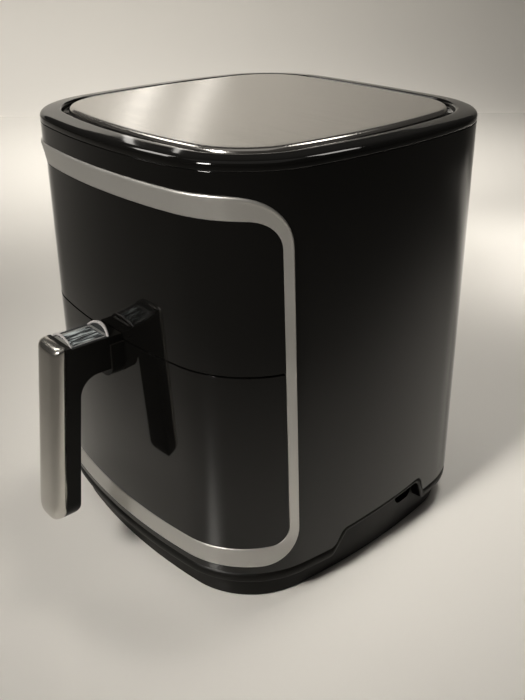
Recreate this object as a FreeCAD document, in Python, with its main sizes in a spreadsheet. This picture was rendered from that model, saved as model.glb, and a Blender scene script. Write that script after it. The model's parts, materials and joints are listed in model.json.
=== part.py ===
# Basket air fryer: casing, front frame, drawer with handle, fan, heater and electrics.
# Millimetres, +Z up, front towards -Y, standing on its feet at z = 0.
import FreeCAD, Part
import math
import os
import re
import Sketcher

SIZES = [
    # Casing outline, measured at the rim, and its taper towards the base
    ("body_width", 280, "casing width at the rim"),
    ("body_depth", 280, "casing depth at the rim"),
    ("rim_height", 326, "height of the full outline"),
    ("side_taper", 4, "inset of each side at the table"),
    ("corner_radius", 72.5, "plan corner radius"),
    ("side_bulge", 534, "plan radius of the sides"),
    ("front_bulge", 474, "plan radius of the front"),
    ("back_bulge", 1200, "plan radius of the back"),
    ("housing_wall", 3, "casing wall"),
    ("housing_bottom", 27.5, "lower edge of the casing"),
    ("lip_step", 0.3, "lip and edging inside the casing surface"),
    # Top ring and plate
    ("ring_height", 7.5, "height of the top ring"),
    ("ring_top", 327, "top face of the ring"),
    ("ring_round", 3, "rounding of the ring's outer edge"),
    ("ring_width", 16.5, "flat width of the ring"),
    ("plate_gap", 5, "groove round the plate"),
    ("ledge_width", 6, "ledge that carries the plate"),
    ("ledge_drop", 5, "depth of the ledge below the ring's top"),
    ("plate_rise", 1.3, "top of the plate above the ring"),
    ("plate_sheet", 0.9, "sheet thickness of the plate"),
    ("plate_roll", 3.5, "rolled edge of the plate"),
    # Front frame, panel and drawer front
    ("trim_low", 33.6, "lower edge of the front frame at the front"),
    ("trim_rise", 0.8, "rise of that edge round the corner"),
    ("trim_drop", 14, "upper edge of the front frame below the ring, at the front"),
    ("trim_fall", 1.5, "fall of that edge round the corner"),
    ("trim_wrap_low", 64.8, "frame's reach round the corner from the front, at its foot"),
    ("trim_wrap_high", 55.8, "frame's reach round the corner, at its head"),
    ("trim_corner", 35, "frame's upper corner radius"),
    ("trim_low_corner", 27, "frame's lower corner radius"),
    ("trim_proud", 1.2, "frame's outer lip stands proud of the casing"),
    ("opening_low", 45.6, "lower edge of the front opening at the front"),
    ("opening_rise", 3.7, "rise of that edge round the corner"),
    ("opening_drop", 16, "upper edge of the front opening below the frame's"),
    ("opening_fall", 1.4, "fall of the upper edge round the corner"),
    ("opening_wrap_low", 58.2, "opening's reach round the corner, at its foot"),
    ("opening_wrap_high", 50.1, "opening's reach round the corner, at its head"),
    ("opening_corner", 20, "opening's upper corner radius"),
    ("opening_low_corner", 14, "opening's lower corner radius"),
    ("panel_recess", 1.5, "front panel behind the casing surface"),
    ("panel_wall", 3, "front panel thickness"),
    ("drawer_seam", 183.4, "parting line between panel and drawer"),
    ("seam_gap", 1.4, "width of the parting line"),
    ("drawer_gap", 0.5, "gap round the drawer front"),
    # Base
    ("base_inset", 8.5, "base wall inside the casing outline"),
    ("base_wall", 2.5, "base wall thickness"),
    ("skirt_bottom", 1.5, "lower edge of the base wall"),
    ("base_bottom", 4, "underside of the base plate"),
    ("base_floor", 3, "base floor thickness"),
    ("base_top", 40, "upper edge of the base wall"),
    ("lip_bottom", 19.8, "underside of the lip under the casing"),
    ("notch_front", 44, "hand recess, distance in front of the middle"),
    ("notch_back", 58, "hand recess, distance behind the middle"),
    ("notch_front_slope", 13, "run of the recess's sloping front end"),
    ("notch_back_slope", 7, "run of the recess's sloping back end"),
    ("notch_top", 36.4, "top of the hand recess at its front"),
    ("notch_tilt", 3.6, "rise of the recess's top towards its back"),
    ("notch_round", 6, "rounding of the recess"),
    ("notch_lip", 3.4, "lip that edges the hand recess"),
    ("finger_front", 33, "finger hole in the base wall, front end"),
    ("finger_back", 53, "finger hole in the base wall, back end"),
    ("finger_low", 22, "finger hole, lower edge"),
    ("finger_high", 35, "finger hole, upper edge"),
    ("foot_radius", 11, "foot radius"),
    ("foot_side", 79, "feet inside the casing's sides"),
    ("foot_end", 62, "feet inside the casing's front and back"),
    ("foot_peg", 4, "radius of the peg that holds a foot"),
    ("peg_length", 2, "length of the peg that holds a foot"),
    # Cooking chamber
    ("chamber_room", 36, "room between casing and chamber, each side"),
    ("chamber_front_room", 36, "room between casing and chamber, in front"),
    ("chamber_back_room", 36, "room between casing and chamber, behind"),
    ("chamber_floor", 47, "underside of the chamber"),
    ("chamber_rise", 71, "top of the chamber above the pan"),
    ("chamber_sheet", 0.6, "chamber sheet thickness"),
    ("post_radius", 6, "posts that carry the chamber"),
    ("post_inset", 20, "posts inside the chamber's edges"),
    ("screw_radius", 2, "base screw shank radius"),
    ("screw_head", 4, "base screw head radius"),
    ("screw_grip", 14, "base screw length in its post"),
    ("screw_clear", 0.1, "screw clearance"),
    ("screw_cap", 2, "depth of a screw's head"),
    ("bulkhead_sheet", 3, "wall behind the front panel"),
    # Drawer
    ("backing_gap", 1, "gap between the drawer's wall and the chamber"),
    ("backing_sheet", 3, "wall behind the drawer front"),
    ("pan_room", 10, "room between pan and chamber, each side"),
    ("pan_back_room", 10, "room between pan and chamber, behind"),
    ("pan_floor", 52, "underside of the pan"),
    ("pan_top", 172, "top of the pan"),
    ("head_room", 155, "room between pan and ring that the chamber's rise is drawn for"),
    ("pan_sheet", 0.9, "pan wall"),
    ("pan_corner", 26, "pan corner radius"),
    ("flange_reach", 6, "pan flange beyond its side"),
    ("flange_drop", 4, "flange's upper face below the pan's top"),
    ("flange_sheet", 1.2, "flange thickness"),
    ("slide_gap", 0.3, "gap between flange and rail"),
    ("rail_depth", 6, "rail height"),
    ("rail_width", 6.5, "rail width"),
    ("rail_end", 12, "rail ends inside the chamber's ends"),
    ("basket_gap", 2.8, "gap between basket and pan"),
    ("basket_lift", 4.8, "height of the bumpers under the basket"),
    ("basket_sheet", 0.9, "basket wall"),
    ("basket_rim", 3, "basket's top below the pan's top"),
    ("hole_radius", 4, "hole in the basket's floor"),
    ("hole_pitch", 20, "spacing of the holes"),
    ("bumper_radius", 7, "bumper radius"),
    ("bumper_inset", 34, "bumpers inside the basket's sides"),
    # Handle
    ("handle_out", 61.1, "front of the grip ahead of the casing's front"),
    ("handle_width", 29, "handle width"),
    ("arm_top", 188.3, "top of the handle's arm"),
    ("arm_bottom", 164, "underside of the arm"),
    ("arm_gap", 0.45, "gap between the arm's end and the fixed panel"),
    ("arm_tongue", 6.4, "arm's tongue, before it is trimmed to the drawer front"),
    ("arm_round", 15, "inner corner between arm and grip"),
    ("grip_bottom", 55.5, "lower end of the grip"),
    ("grip_top", 190.5, "top of the grip"),
    ("grip_lean", 12.6, "grip's foot further out than its head"),
    ("cover_depth", 8.5, "steel cover's depth"),
    ("core_depth", 11.2, "black core's depth behind the cover"),
    ("upstand", 3.6, "core's edge behind the cover's cap"),
    ("grip_round", 11, "rounding of the grip's foot, seen from the side"),
    ("grip_corner", 13, "rounding of the grip's foot, seen from the front"),
    ("cover_round", 5, "rounding of the cover's head"),
    ("cover_foot_round", 7.5, "rounding of the cover's foot, seen from the side"),
    ("cover_side_round", 3.7, "rounding of the cover's long edges"),
    ("cap_overlap", 1, "cover's cap above the core"),
    ("collar_overlap", 2, "collar wider than the handle, each side"),
    ("collar_reach", 10, "collar in front of the drawer front"),
    ("collar_bottom", 155.5, "underside of the collar"),
    ("collar_round", 12, "rounding of the collar"),
    # Release button, its clear guard and its latch
    ("guard_length", 32, "clear guard length"),
    ("guard_rise", 6, "crown of the clear guard"),
    ("guard_wall", 2, "clear guard wall"),
    ("guard_inset", 0.5, "guard's side inside the arm's side"),
    ("guard_gap", 0.3, "gap under the guard and at its front end"),
    ("button_length", 24, "release button length"),
    ("button_width", 20, "release button width"),
    ("button_set", 28.6, "release button's front end behind the grip's foot"),
    ("button_top", 189.6, "top of the release button"),
    ("button_bottom", 177, "underside of the release button"),
    ("button_gap", 0.4, "gap round the button"),
    ("button_corner", 2, "button's plan corner radius"),
    ("button_round", 1.6, "rounding of the button's top"),
    ("well_floor", 169, "floor of the button's well"),
    ("spring_radius", 4, "spring radius"),
    ("spring_wire", 1, "spring wire"),
    ("latch_width", 6, "latch bar width"),
    ("latch_depth", 4, "latch bar depth"),
    ("latch_clear", 5, "latch bar's end in front of the drawer's wall"),
    ("latch_travel", 5.5, "room under the latch bar"),
    ("hook_drop", 1.5, "latch hook below its bar"),
    ("hook_length", 4, "latch hook length"),
    ("bracket_width", 44, "bracket behind the drawer front"),
    ("bracket_low", 158, "underside of the bracket"),
    ("bracket_high", 182, "top of the bracket"),
    ("handle_screw_x", 10, "handle screws from the middle"),
    ("handle_screw_z", 168, "handle screws' height"),
    ("handle_screw_grip", 8.5, "handle screw's length in the arm"),
    ("handle_screw_head", 4, "depth of the handle screw's head"),
    # Fan, motor and heater
    ("shaft_radius", 4, "motor shaft radius"),
    ("shaft_hole", 8, "hole round the shaft in sheet metal"),
    ("shaft_drop", 8, "lower end of the shaft below the fan"),
    ("shaft_in", 23.5, "upper end of the shaft inside the motor"),
    ("shaft_gap", 0.05, "running clearance of the shaft"),
    ("fan_radius", 62, "convection fan radius"),
    ("fan_drop", 31, "underside of the convection fan below the chamber's top"),
    ("fan_sheet", 1.2, "fan sheet thickness"),
    ("blade_height", 16, "convection fan blade height"),
    ("blade_sheet", 1.2, "fan blade thickness"),
    ("hub_radius", 11, "fan hub radius"),
    ("nut_radius", 8, "fan nut radius"),
    ("nut_height", 7, "fan nut height"),
    ("blower_radius", 40, "cooling fan radius"),
    ("blower_rise", 6, "underside of the cooling fan above the chamber"),
    ("blower_height", 11, "cooling fan blade height"),
    ("motor_radius", 31, "motor radius"),
    ("motor_rise", 23.5, "underside of the motor above the chamber"),
    ("motor_height", 34, "motor height"),
    ("motor_bore_depth", 30, "depth of the motor's bore"),
    ("bridge_sheet", 1.5, "motor bridge thickness"),
    ("bridge_width", 44, "motor bridge width"),
    ("bridge_leg", 56, "motor bridge legs from the middle"),
    ("motor_screw_x", 25, "motor screws from the middle"),
    ("motor_screw_grip", 7, "motor screw length in the motor"),
    ("element_radius", 76, "heating element ring radius"),
    ("element_tube", 3.5, "heating element tube radius"),
    ("element_drop", 43, "heating element below the chamber's top"),
    ("element_sweep", 320, "degrees of the ring"),
    ("clip_width", 6, "element clip width"),
    ("clip_sheet", 2, "element clip thickness"),
    ("clip_gap", 0.5, "gap between the clip's hanger and the element"),
    ("seal_radius", 7, "ceramic seal round each lead"),
    ("seal_height", 5, "height of the lead seals"),
    ("lead_gap", 1, "gap round the element's leads"),
    ("lead_rise", 8, "element leads above the chamber"),
    ("grille_drop", 53, "guard plate below the chamber's top"),
    ("grille_sheet", 1, "guard plate thickness"),
    ("grille_hole", 7, "guard plate hole radius"),
    ("grille_ring", 42, "guard plate's near holes from the middle"),
    ("grille_far", 74, "guard plate's far holes from the middle"),
    ("grille_middle", 14, "guard plate's middle hole radius"),
    # Electrics
    ("board_width", 96, "control board width"),
    ("board_depth", 44, "control board depth"),
    ("board_y", 62, "control board behind the middle"),
    ("board_drop", 17.3, "underside of the control board below the plate's top"),
    ("board_sheet", 1.6, "circuit board thickness"),
    ("chip_height", 5, "height of the control board's chips"),
    ("standoff_radius", 2.5, "board standoff radius"),
    ("standoff_inset", 5, "standoffs inside the board's edge"),
    ("power_width", 80, "power board length"),
    ("power_height", 70, "power board height"),
    ("power_low", 95, "power board's lower edge"),
    ("power_stand", 8, "power board standoff length"),
    ("relay_depth", 9, "depth of the power board's relay"),
    ("probe_radius", 2, "temperature probe radius"),
    ("probe_length", 30, "temperature probe length"),
    ("probe_side", 18, "temperature probe inside the chamber's side"),
    ("probe_end", 34, "temperature probe inside the chamber's back"),
    ("probe_head", 5, "temperature probe head radius"),
    ("fuse_inset", 26, "thermal fuse inside the chamber's side"),
    ("fuse_length", 22, "thermal fuse length"),
    ("fuse_radius", 4, "thermal fuse radius"),
    ("switch_z", 120, "drawer switch height"),
    ("switch_width", 20, "drawer switch width"),
    ("switch_height", 11, "drawer switch height of its case"),
    ("switch_depth", 7, "drawer switch depth"),
    ("plunger_radius", 2, "drawer switch plunger radius"),
    ("plunger_gap", 0.4, "gap between plunger and pan"),
    # Back
    ("vent_proud", 3, "rear vent beyond the casing's back"),
    ("vent_width", 120, "rear vent width"),
    ("vent_low", 196, "rear vent lower edge"),
    ("vent_high", 262, "rear vent upper edge"),
    ("vent_corner", 12, "rear vent corner radius"),
    ("vent_depth", 14, "rear vent depth"),
    ("vent_wall", 2.5, "rear vent wall"),
    ("slot_height", 4, "louvre slot height"),
    ("slot_pitch", 9, "louvre slot spacing"),
    ("slot_count", 6, "number of louvre slots"),
    ("gland_inset", 78, "cord inlet inside the casing's side"),
    ("gland_z", 62, "cord inlet height"),
    ("gland_radius", 8, "cord inlet radius"),
    ("gland_bore", 3.6, "cord inlet bore radius"),
    ("gland_flange", 11, "cord inlet flange radius"),
    ("gland_in", 5, "cord inlet inside the casing"),
]
NAMES = {name for name, number, meaning in SIZES}

# Distances from the middle, and heights, that follow from the sizes above
DERIVED = {
    "plate_top": "ring_top + plate_rise",
    "trim_high": "ring_top - ring_height - trim_drop",
    "opening_high": "trim_high - opening_drop",
    "chamber_top": "pan_top + chamber_rise * (ring_top - pan_top) / head_room",
    "fan_low": "chamber_top - fan_drop",
    "shaft_low": "fan_low - shaft_drop",
    "blower_low": "chamber_top + blower_rise",
    "motor_low": "chamber_top + motor_rise",
    "shaft_high": "motor_low + shaft_in",
    "element_height": "chamber_top - element_drop",
    "grille_height": "chamber_top - grille_drop",
    "board_low": "plate_top - board_drop",
    "trim_back_low": "body_depth / 2 - trim_wrap_low",
    "trim_back_high": "body_depth / 2 - trim_wrap_high",
    "opening_back_low": "body_depth / 2 - opening_wrap_low",
    "opening_back_high": "body_depth / 2 - opening_wrap_high",
    "foot_x": "body_width / 2 - foot_side",
    "foot_y": "body_depth / 2 - foot_end",
    "chamber_width": "body_width - 2 * chamber_room",
    "chamber_front": "body_depth / 2 - chamber_front_room",
    "chamber_back": "body_depth / 2 - chamber_back_room",
    "post_x": "chamber_width / 2 - post_inset",
    "post_y": "chamber_back - post_inset",
    "backing_front": "chamber_front + backing_gap + backing_sheet",
    "pan_width": "chamber_width - 2 * pan_room",
    "pan_back": "chamber_back - pan_back_room",
    "handle_reach": "body_depth / 2 + handle_out",
    "arm_root": "body_depth / 2 - panel_recess - side_taper * (1 - arm_top / rim_height) + arm_gap",
    "tongue_end": "arm_root - arm_tongue",
    "button_front": "handle_reach - button_set",
    "latch_reach": "button_front - button_length - backing_front - latch_clear",
    "handle_screw_length": "arm_root - backing_front - handle_screw_head + handle_screw_grip",
    "fuse_x": "chamber_width / 2 - fuse_inset",
    "probe_x": "chamber_width / 2 - probe_side",
    "probe_y": "chamber_back - probe_end",
    "rear_reach": "body_depth / 2 + vent_proud",
    "gland_x": "body_width / 2 - gland_inset",
}

doc = FreeCAD.newDocument("AirFryer")
sheet = doc.addObject("Spreadsheet::Sheet", "Sizes")
for row, (size_name, size_number, meaning) in enumerate(SIZES, start=1):
    sheet.set("A%d" % row, meaning)
    sheet.set("B%d" % row, str(size_number))
    sheet.setAlias("B%d" % row, size_name)
probe = doc.addObject("App::FeaturePython", "Probe")
probe.addProperty("App::PropertyFloat", "answer")
doc.recompute()

# The whole part is moved so that its box is centred over the origin.
CENTRING = "(handle_reach - rear_reach) / 2"
TAPER = "atan(side_taper / rim_height)"
parts = []


def formula(text):
    """Writes a formula of size names as an expression on the sheet."""

    def swap(word):
        name = word.group()
        if name in DERIVED:
            return "(%s)" % formula(DERIVED[name])
        return "Sizes." + name if name in NAMES else name

    return re.sub(r"[a-z_][a-z0-9_]*", swap, str(text))


def number(text):
    """The present value of a formula."""
    probe.setExpression("answer", formula(text))
    probe.recompute()
    return probe.answer


def bind(thing, prop, text):
    thing.setExpression(prop, formula(text))


def settle(thing):
    doc.recompute()
    if "Invalid" in thing.State or "Error" in thing.State:
        raise RuntimeError("%s failed: %s" % (thing.Name, thing.State))


def new_body(label):
    """A body of its own, in the part's frame, that is written out under its label."""
    body = doc.addObject("PartDesign::Body", label)
    body.Label = label
    body.AllowCompound = True
    bind(body, "Placement.Base.y", CENTRING)
    parts.append(body)
    return body


def sketch_on(body, name, plane, offset="0"):
    """A sketch on one of the body's planes, moved along the plane's normal."""
    sketch = body.newObject("Sketcher::SketchObject", "%s_%s" % (body.Label, name))
    support = [f for f in body.Origin.OriginFeatures if f.Role == plane][0]
    sketch.AttachmentSupport = [(support, "")]
    sketch.MapMode = "FlatFace"
    bind(sketch, "AttachmentOffset.Base.z", offset)
    return sketch


def rule(sketch, text, kind, *where):
    """Adds a dimension and binds it to a formula."""
    index = sketch.addConstraint(Sketcher.Constraint(kind, *where, number(text)))
    sketch.setExpression("Constraints[%d]" % index, formula(text))


def pin(sketch, edge, end, x, y):
    """Fixes a point of the sketch at two formulas."""
    for kind, place, axis in (("DistanceX", x, -2), ("DistanceY", y, -1)):
        value = number(place)
        if abs(value) < 1e-7:
            sketch.addConstraint(Sketcher.Constraint("PointOnObject", edge, end, axis))
        elif value > 0:
            rule(sketch, place, kind, -1, 1, edge, end)
        else:
            rule(sketch, "-1 * (%s)" % place, kind, edge, end, -1, 1)


def add_loop(sketch, corners):
    """A closed loop of straight lines; a corner with a radius is rounded by a tangent arc."""
    spots = [FreeCAD.Vector(number(c[0]), number(c[1]), 0) for c in corners]
    radii = [number(c[2]) if len(c) > 2 else 0.0 for c in corners]
    count = len(corners)
    starts, ends, arcs = [], [], []
    for i in range(count):
        to_last = (spots[i - 1] - spots[i]).normalize()
        to_next = (spots[(i + 1) % count] - spots[i]).normalize()
        half = to_last.getAngle(to_next) / 2
        run = radii[i] / math.tan(half)
        ends.append(spots[i] + to_last * run)
        starts.append(spots[i] + to_next * run)
        middle = (to_last + to_next).normalize()
        arcs.append((middle, half))
    lines = []
    for i in range(count):
        line = Part.LineSegment(starts[i], ends[(i + 1) % count])
        lines.append(sketch.addGeometry(line, False))
    for i in range(count):
        before, after = lines[i - 1], lines[i]
        if not radii[i]:
            sketch.addConstraint(Sketcher.Constraint("Coincident", before, 2, after, 1))
            pin(sketch, after, 1, corners[i][0], corners[i][1])
            continue
        middle, half = arcs[i]
        centre = spots[i] + middle * (radii[i] / math.sin(half))
        near = centre - middle * radii[i]
        turn = (ends[i] - spots[i]).cross(starts[i] - spots[i]).z
        first, last = (ends[i], starts[i]) if turn < 0 else (starts[i], ends[i])
        bend = sketch.addGeometry(Part.Arc(first, near, last), False)
        begin, finish = (1, 2) if turn < 0 else (2, 1)
        sketch.addConstraint(Sketcher.Constraint("Tangent", before, 2, bend, begin))
        sketch.addConstraint(Sketcher.Constraint("Tangent", bend, finish, after, 1))
        rule(sketch, corners[i][2], "Radius", bend)
        tip = sketch.addGeometry(Part.Point(spots[i]), True)
        pin(sketch, tip, 1, corners[i][0], corners[i][1])
        sketch.addConstraint(Sketcher.Constraint("PointOnObject", tip, 1, before))
        sketch.addConstraint(Sketcher.Constraint("PointOnObject", tip, 1, after))


def loops(body, name, plane, loop_list, offset="0"):
    sketch = sketch_on(body, name, plane, offset)
    for corners in loop_list:
        add_loop(sketch, corners)
    settle(sketch)
    return sketch


def rectangle(left, right, low, high, radius="0"):
    corners = [(left, low), (right, low), (right, high), (left, high)]
    return corners if radius == "0" else [(x, y, radius) for x, y in corners]


def circles(body, name, plane, spots, radius, offset="0"):
    """Equal circles at the given places."""
    sketch = sketch_on(body, name, plane, offset)
    for x, y in spots:
        middle = FreeCAD.Vector(number(x), number(y), 0)
        ring = Part.Circle(middle, FreeCAD.Vector(0, 0, 1), number(radius))
        index = sketch.addGeometry(ring, False)
        rule(sketch, radius, "Radius", index)
        pin(sketch, index, 3, x, y)
    settle(sketch)
    return sketch


def inset_at(height, inset):
    """The casing outline's inset at a height, its taper included."""
    return "(%s) + side_taper * (1 - (%s) / rim_height)" % (inset, height)


def outline(body, name, height, inset):
    """The casing's plan at a height: four bulged sides and four round corners, tangent all round."""
    inward = inset_at(height, inset)
    sketch = sketch_on(body, name, "XY_Plane", height)
    d = number(inward)
    side, front = number("side_bulge"), number("front_bulge")
    back, corner = number("back_bulge"), number("corner_radius")
    to_side = number("side_bulge - body_width / 2")
    to_front = number("front_bulge - body_depth / 2")
    to_back = number("back_bulge - body_depth / 2")

    def corner_centre(sx, far, far_radius, sy):
        """Centre of the corner arc that touches a side arc and a front or back arc."""
        one, two = FreeCAD.Vector(-sx * to_side, 0, 0), FreeCAD.Vector(0, -sy * far, 0)
        across = two - one
        gap = across.Length
        a = (gap**2 + (side - corner) ** 2 - (far_radius - corner) ** 2) / (2 * gap)
        lift = math.sqrt((side - corner) ** 2 - a**2)
        unit = across / gap
        normal = FreeCAD.Vector(-unit.y, unit.x, 0)
        found = [one + unit * a + normal * s * lift for s in (1, -1)]
        return max(found, key=lambda c: c.x * sx + c.y * sy)

    right = FreeCAD.Vector(-to_side, 0, 0)
    left = FreeCAD.Vector(to_side, 0, 0)
    fore = FreeCAD.Vector(0, to_front, 0)
    aft = FreeCAD.Vector(0, -to_back, 0)
    corners = [
        corner_centre(1, to_front, front, -1),
        corner_centre(1, to_back, back, 1),
        corner_centre(-1, to_back, back, 1),
        corner_centre(-1, to_front, front, -1),
    ]
    run = [
        (fore, front, "front_bulge"),
        (corners[0], corner, "corner_radius"),
        (right, side, "side_bulge"),
        (corners[1], corner, "corner_radius"),
        (aft, back, "back_bulge"),
        (corners[2], corner, "corner_radius"),
        (left, side, "side_bulge"),
        (corners[3], corner, "corner_radius"),
    ]

    def touch(i):
        """Where arc i meets the next one."""
        one, two = run[i % 8], run[(i + 1) % 8]
        big, small = (one, two) if one[1] > two[1] else (two, one)
        return big[0] + (small[0] - big[0]).normalize() * (big[1] - d)

    for i, (centre, radius, size) in enumerate(run):
        first, last = touch(i - 1), touch(i)
        middle = ((first + last) / 2 - centre).normalize()
        arc = Part.Arc(first, centre + middle * (radius - d), last)
        sketch.addGeometry(arc, False)
    for i, (centre, radius, size) in enumerate(run):
        sketch.addConstraint(Sketcher.Constraint("Tangent", i, 2, (i + 1) % 8, 1))
    for i, (centre, radius, size) in enumerate(run):
        rule(sketch, "%s - (%s)" % (size, inward), "Radius", i)
    pin(sketch, 0, 3, "0", "front_bulge - body_depth / 2")
    pin(sketch, 2, 3, "body_width / 2 - side_bulge", "0")
    pin(sketch, 4, 3, "0", "body_depth / 2 - back_bulge")
    pin(sketch, 6, 3, "side_bulge - body_width / 2", "0")
    settle(sketch)
    return sketch


def pad(sketch, length, taper=None, symmetric=False, back=False):
    body = sketch.getParentGeoFeatureGroup()
    feature = body.newObject("PartDesign::Pad", sketch.Name + "_pad")
    feature.Profile = sketch
    feature.Reversed = back
    feature.SideType = "Symmetric" if symmetric else "One side"
    bind(feature, "Length", length)
    if taper:
        bind(feature, "TaperAngle", taper)
    body.Tip = feature
    settle(feature)
    return feature


def pocket(sketch, length=None, taper=None, symmetric=False, back=False):
    """Cuts a sketch's area away; without a length it goes through everything."""
    body = sketch.getParentGeoFeatureGroup()
    before = body.Shape.Volume
    feature = body.newObject("PartDesign::Pocket", sketch.Name + "_cut")
    feature.Profile = sketch
    feature.Reversed = back
    feature.SideType = "Symmetric" if symmetric else "One side"
    if length:
        bind(feature, "Length", length)
    else:
        feature.Type = "ThroughAll"
    if taper:
        bind(feature, "TaperAngle", taper)
    body.Tip = feature
    settle(feature)
    if body.Shape.Volume > before - 1e-6:
        raise RuntimeError("%s cuts nothing" % feature.Name)
    return feature


def fillet(body, radius, wanted):
    """Rounds the edges of the body's last feature that the test picks."""
    base = body.Tip
    edges = base.Shape.Edges
    chosen = ["Edge%d" % (i + 1) for i, edge in enumerate(edges) if wanted(edge)]
    feature = body.newObject("PartDesign::Fillet", body.Label + "_round")
    feature.Base = (base, chosen)
    bind(feature, "Radius", radius)
    body.Tip = feature
    settle(feature)
    return feature


def level(height):
    """A test for edges that lie at one height."""
    z = number(height)
    return lambda edge: abs(edge.BoundBox.ZMin - z) + abs(edge.BoundBox.ZMax - z) < 1e-3


def polar(feature, count):
    """Repeats a feature round the body's own vertical axis."""
    body = feature.getParentGeoFeatureGroup()
    axis = [f for f in body.Origin.OriginFeatures if f.Role == "Z_Axis"][0]
    pattern = body.newObject("PartDesign::PolarPattern", feature.Name + "_round")
    pattern.Originals = [feature]
    pattern.Axis = (axis, [""])
    pattern.Angle = 360
    pattern.Occurrences = count
    body.Tip = pattern
    settle(pattern)
    return pattern


def sleeve(label, outside, inside, low, high):
    """A tapered wall that follows the casing outline between two insets."""
    body = new_body(label)
    height = "(%s) - (%s)" % (high, low)
    pad(outline(body, "outside", low, outside), height, taper=TAPER)
    pocket(outline(body, "inside", low, inside), height, taper=TAPER, back=True)
    return body


def front_shape(low, rise, high, fall, back_low, back_high, low_corner, high_corner):
    """The side view of the wrapped front: two edges that close in towards a leaning back edge."""
    slope = "%s * body_depth / 2 / (body_depth / 2 - (%s))"
    return [
        ("-1 * body_depth", "%s - %s" % (low, slope % (rise, back_low))),
        ("-1 * (%s)" % back_low, "%s + %s" % (low, rise), low_corner),
        ("-1 * (%s)" % back_high, "%s - %s" % (high, fall), high_corner),
        ("-1 * body_depth", "%s + %s" % (high, slope % (fall, back_high))),
    ]


def keep_front(body, name, shape):
    """Cuts away all that lies outside a front shape."""
    frame = rectangle("-2 * body_depth", "2 * body_depth", "-1 * rim_height", "2 * rim_height")
    pocket(loops(body, name, "YZ_Plane", [frame, shape]), symmetric=True)


def four(x, y):
    """The four corners of a rectangle round the middle."""
    return [("%s * (%s)" % (sx, x), "%s * (%s)" % (sy, y)) for sx in (-1, 1) for sy in (-1, 1)]


def pair(x, y):
    """Two places, left and right."""
    return [("-1 * (%s)" % x, y), (x, y)]


RING_SEAM = "ring_top - ring_height"
PLATE_INSET = "ring_width + plate_gap"
LEDGE = "ring_top - ledge_drop"
PANEL_BACK = "panel_recess + panel_wall"
OPENING = ("opening_low", "opening_rise", "opening_high", "opening_fall", "opening_back_low",
           "opening_back_high", "opening_low_corner", "opening_corner")
TRIM = ("trim_low", "trim_rise", "trim_high", "trim_fall", "trim_back_low",
        "trim_back_high", "trim_low_corner", "trim_corner")


def grown(shape, gap):
    """A front shape grown all round by a gap."""
    low, rise, high, fall, back_low, back_high, low_corner, high_corner = shape
    return front_shape(
        "%s - (%s)" % (low, gap),
        rise,
        "%s + (%s)" % (high, gap),
        fall,
        "%s - (%s)" % (back_low, gap),
        "%s - (%s)" % (back_high, gap),
        "%s + (%s)" % (low_corner, gap),
        "%s + (%s)" % (high_corner, gap),
    )


def notch(grow):
    """The hand recess in the casing's lower edge, seen from the side."""
    front, back = "-1 * (notch_front + (%s))" % grow, "notch_back + (%s)" % grow
    top = "notch_top + (%s)" % grow
    return [
        (front, "base_bottom / 2"),
        (back, "base_bottom / 2"),
        (back, "lip_bottom", "notch_round"),
        ("%s - notch_back_slope" % back, top + " + notch_tilt", "notch_round"),
        ("%s + notch_front_slope" % front, top, "notch_round"),
        (front, "lip_bottom", "notch_round"),
    ]


# Casing, top ring, top plate and base

def outer_housing():
    body = sleeve("outer_housing", "0", "housing_wall", "housing_bottom", RING_SEAM)
    pocket(loops(body, "front", "YZ_Plane", [front_shape(*TRIM)]), symmetric=True)
    pocket(loops(body, "notch", "YZ_Plane", [notch("notch_lip")]), symmetric=True)
    vent = rectangle("-1 * vent_width / 2", "vent_width / 2", "vent_low", "vent_high", "vent_corner")
    pocket(loops(body, "vent", "XZ_Plane", [vent]))
    gland = circles(body, "gland", "XZ_Plane", [("gland_x", "gland_z")], "gland_radius")
    pocket(gland)


def top_ring():
    body = new_body("top_ring")
    pad(outline(body, "outside", RING_SEAM, "0"), "ring_height", taper=TAPER)
    fillet(body, "ring_round", level("ring_top"))
    well = outline(body, "well", "ring_top", "ring_width")
    pocket(well, "ledge_drop")
    through = outline(body, "through", "ring_top", PLATE_INSET + " + ledge_width")
    pocket(through, "2 * ring_height")


def top_plate():
    body = new_body("top_plate")
    pad(outline(body, "outside", LEDGE, PLATE_INSET), "plate_top - (%s)" % LEDGE)
    fillet(body, "plate_roll", level("plate_top"))
    hollow = outline(body, "hollow", LEDGE, PLATE_INSET + " + plate_roll + plate_sheet")
    pocket(hollow, "plate_top - plate_sheet - (%s)" % LEDGE, back=True)


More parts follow.
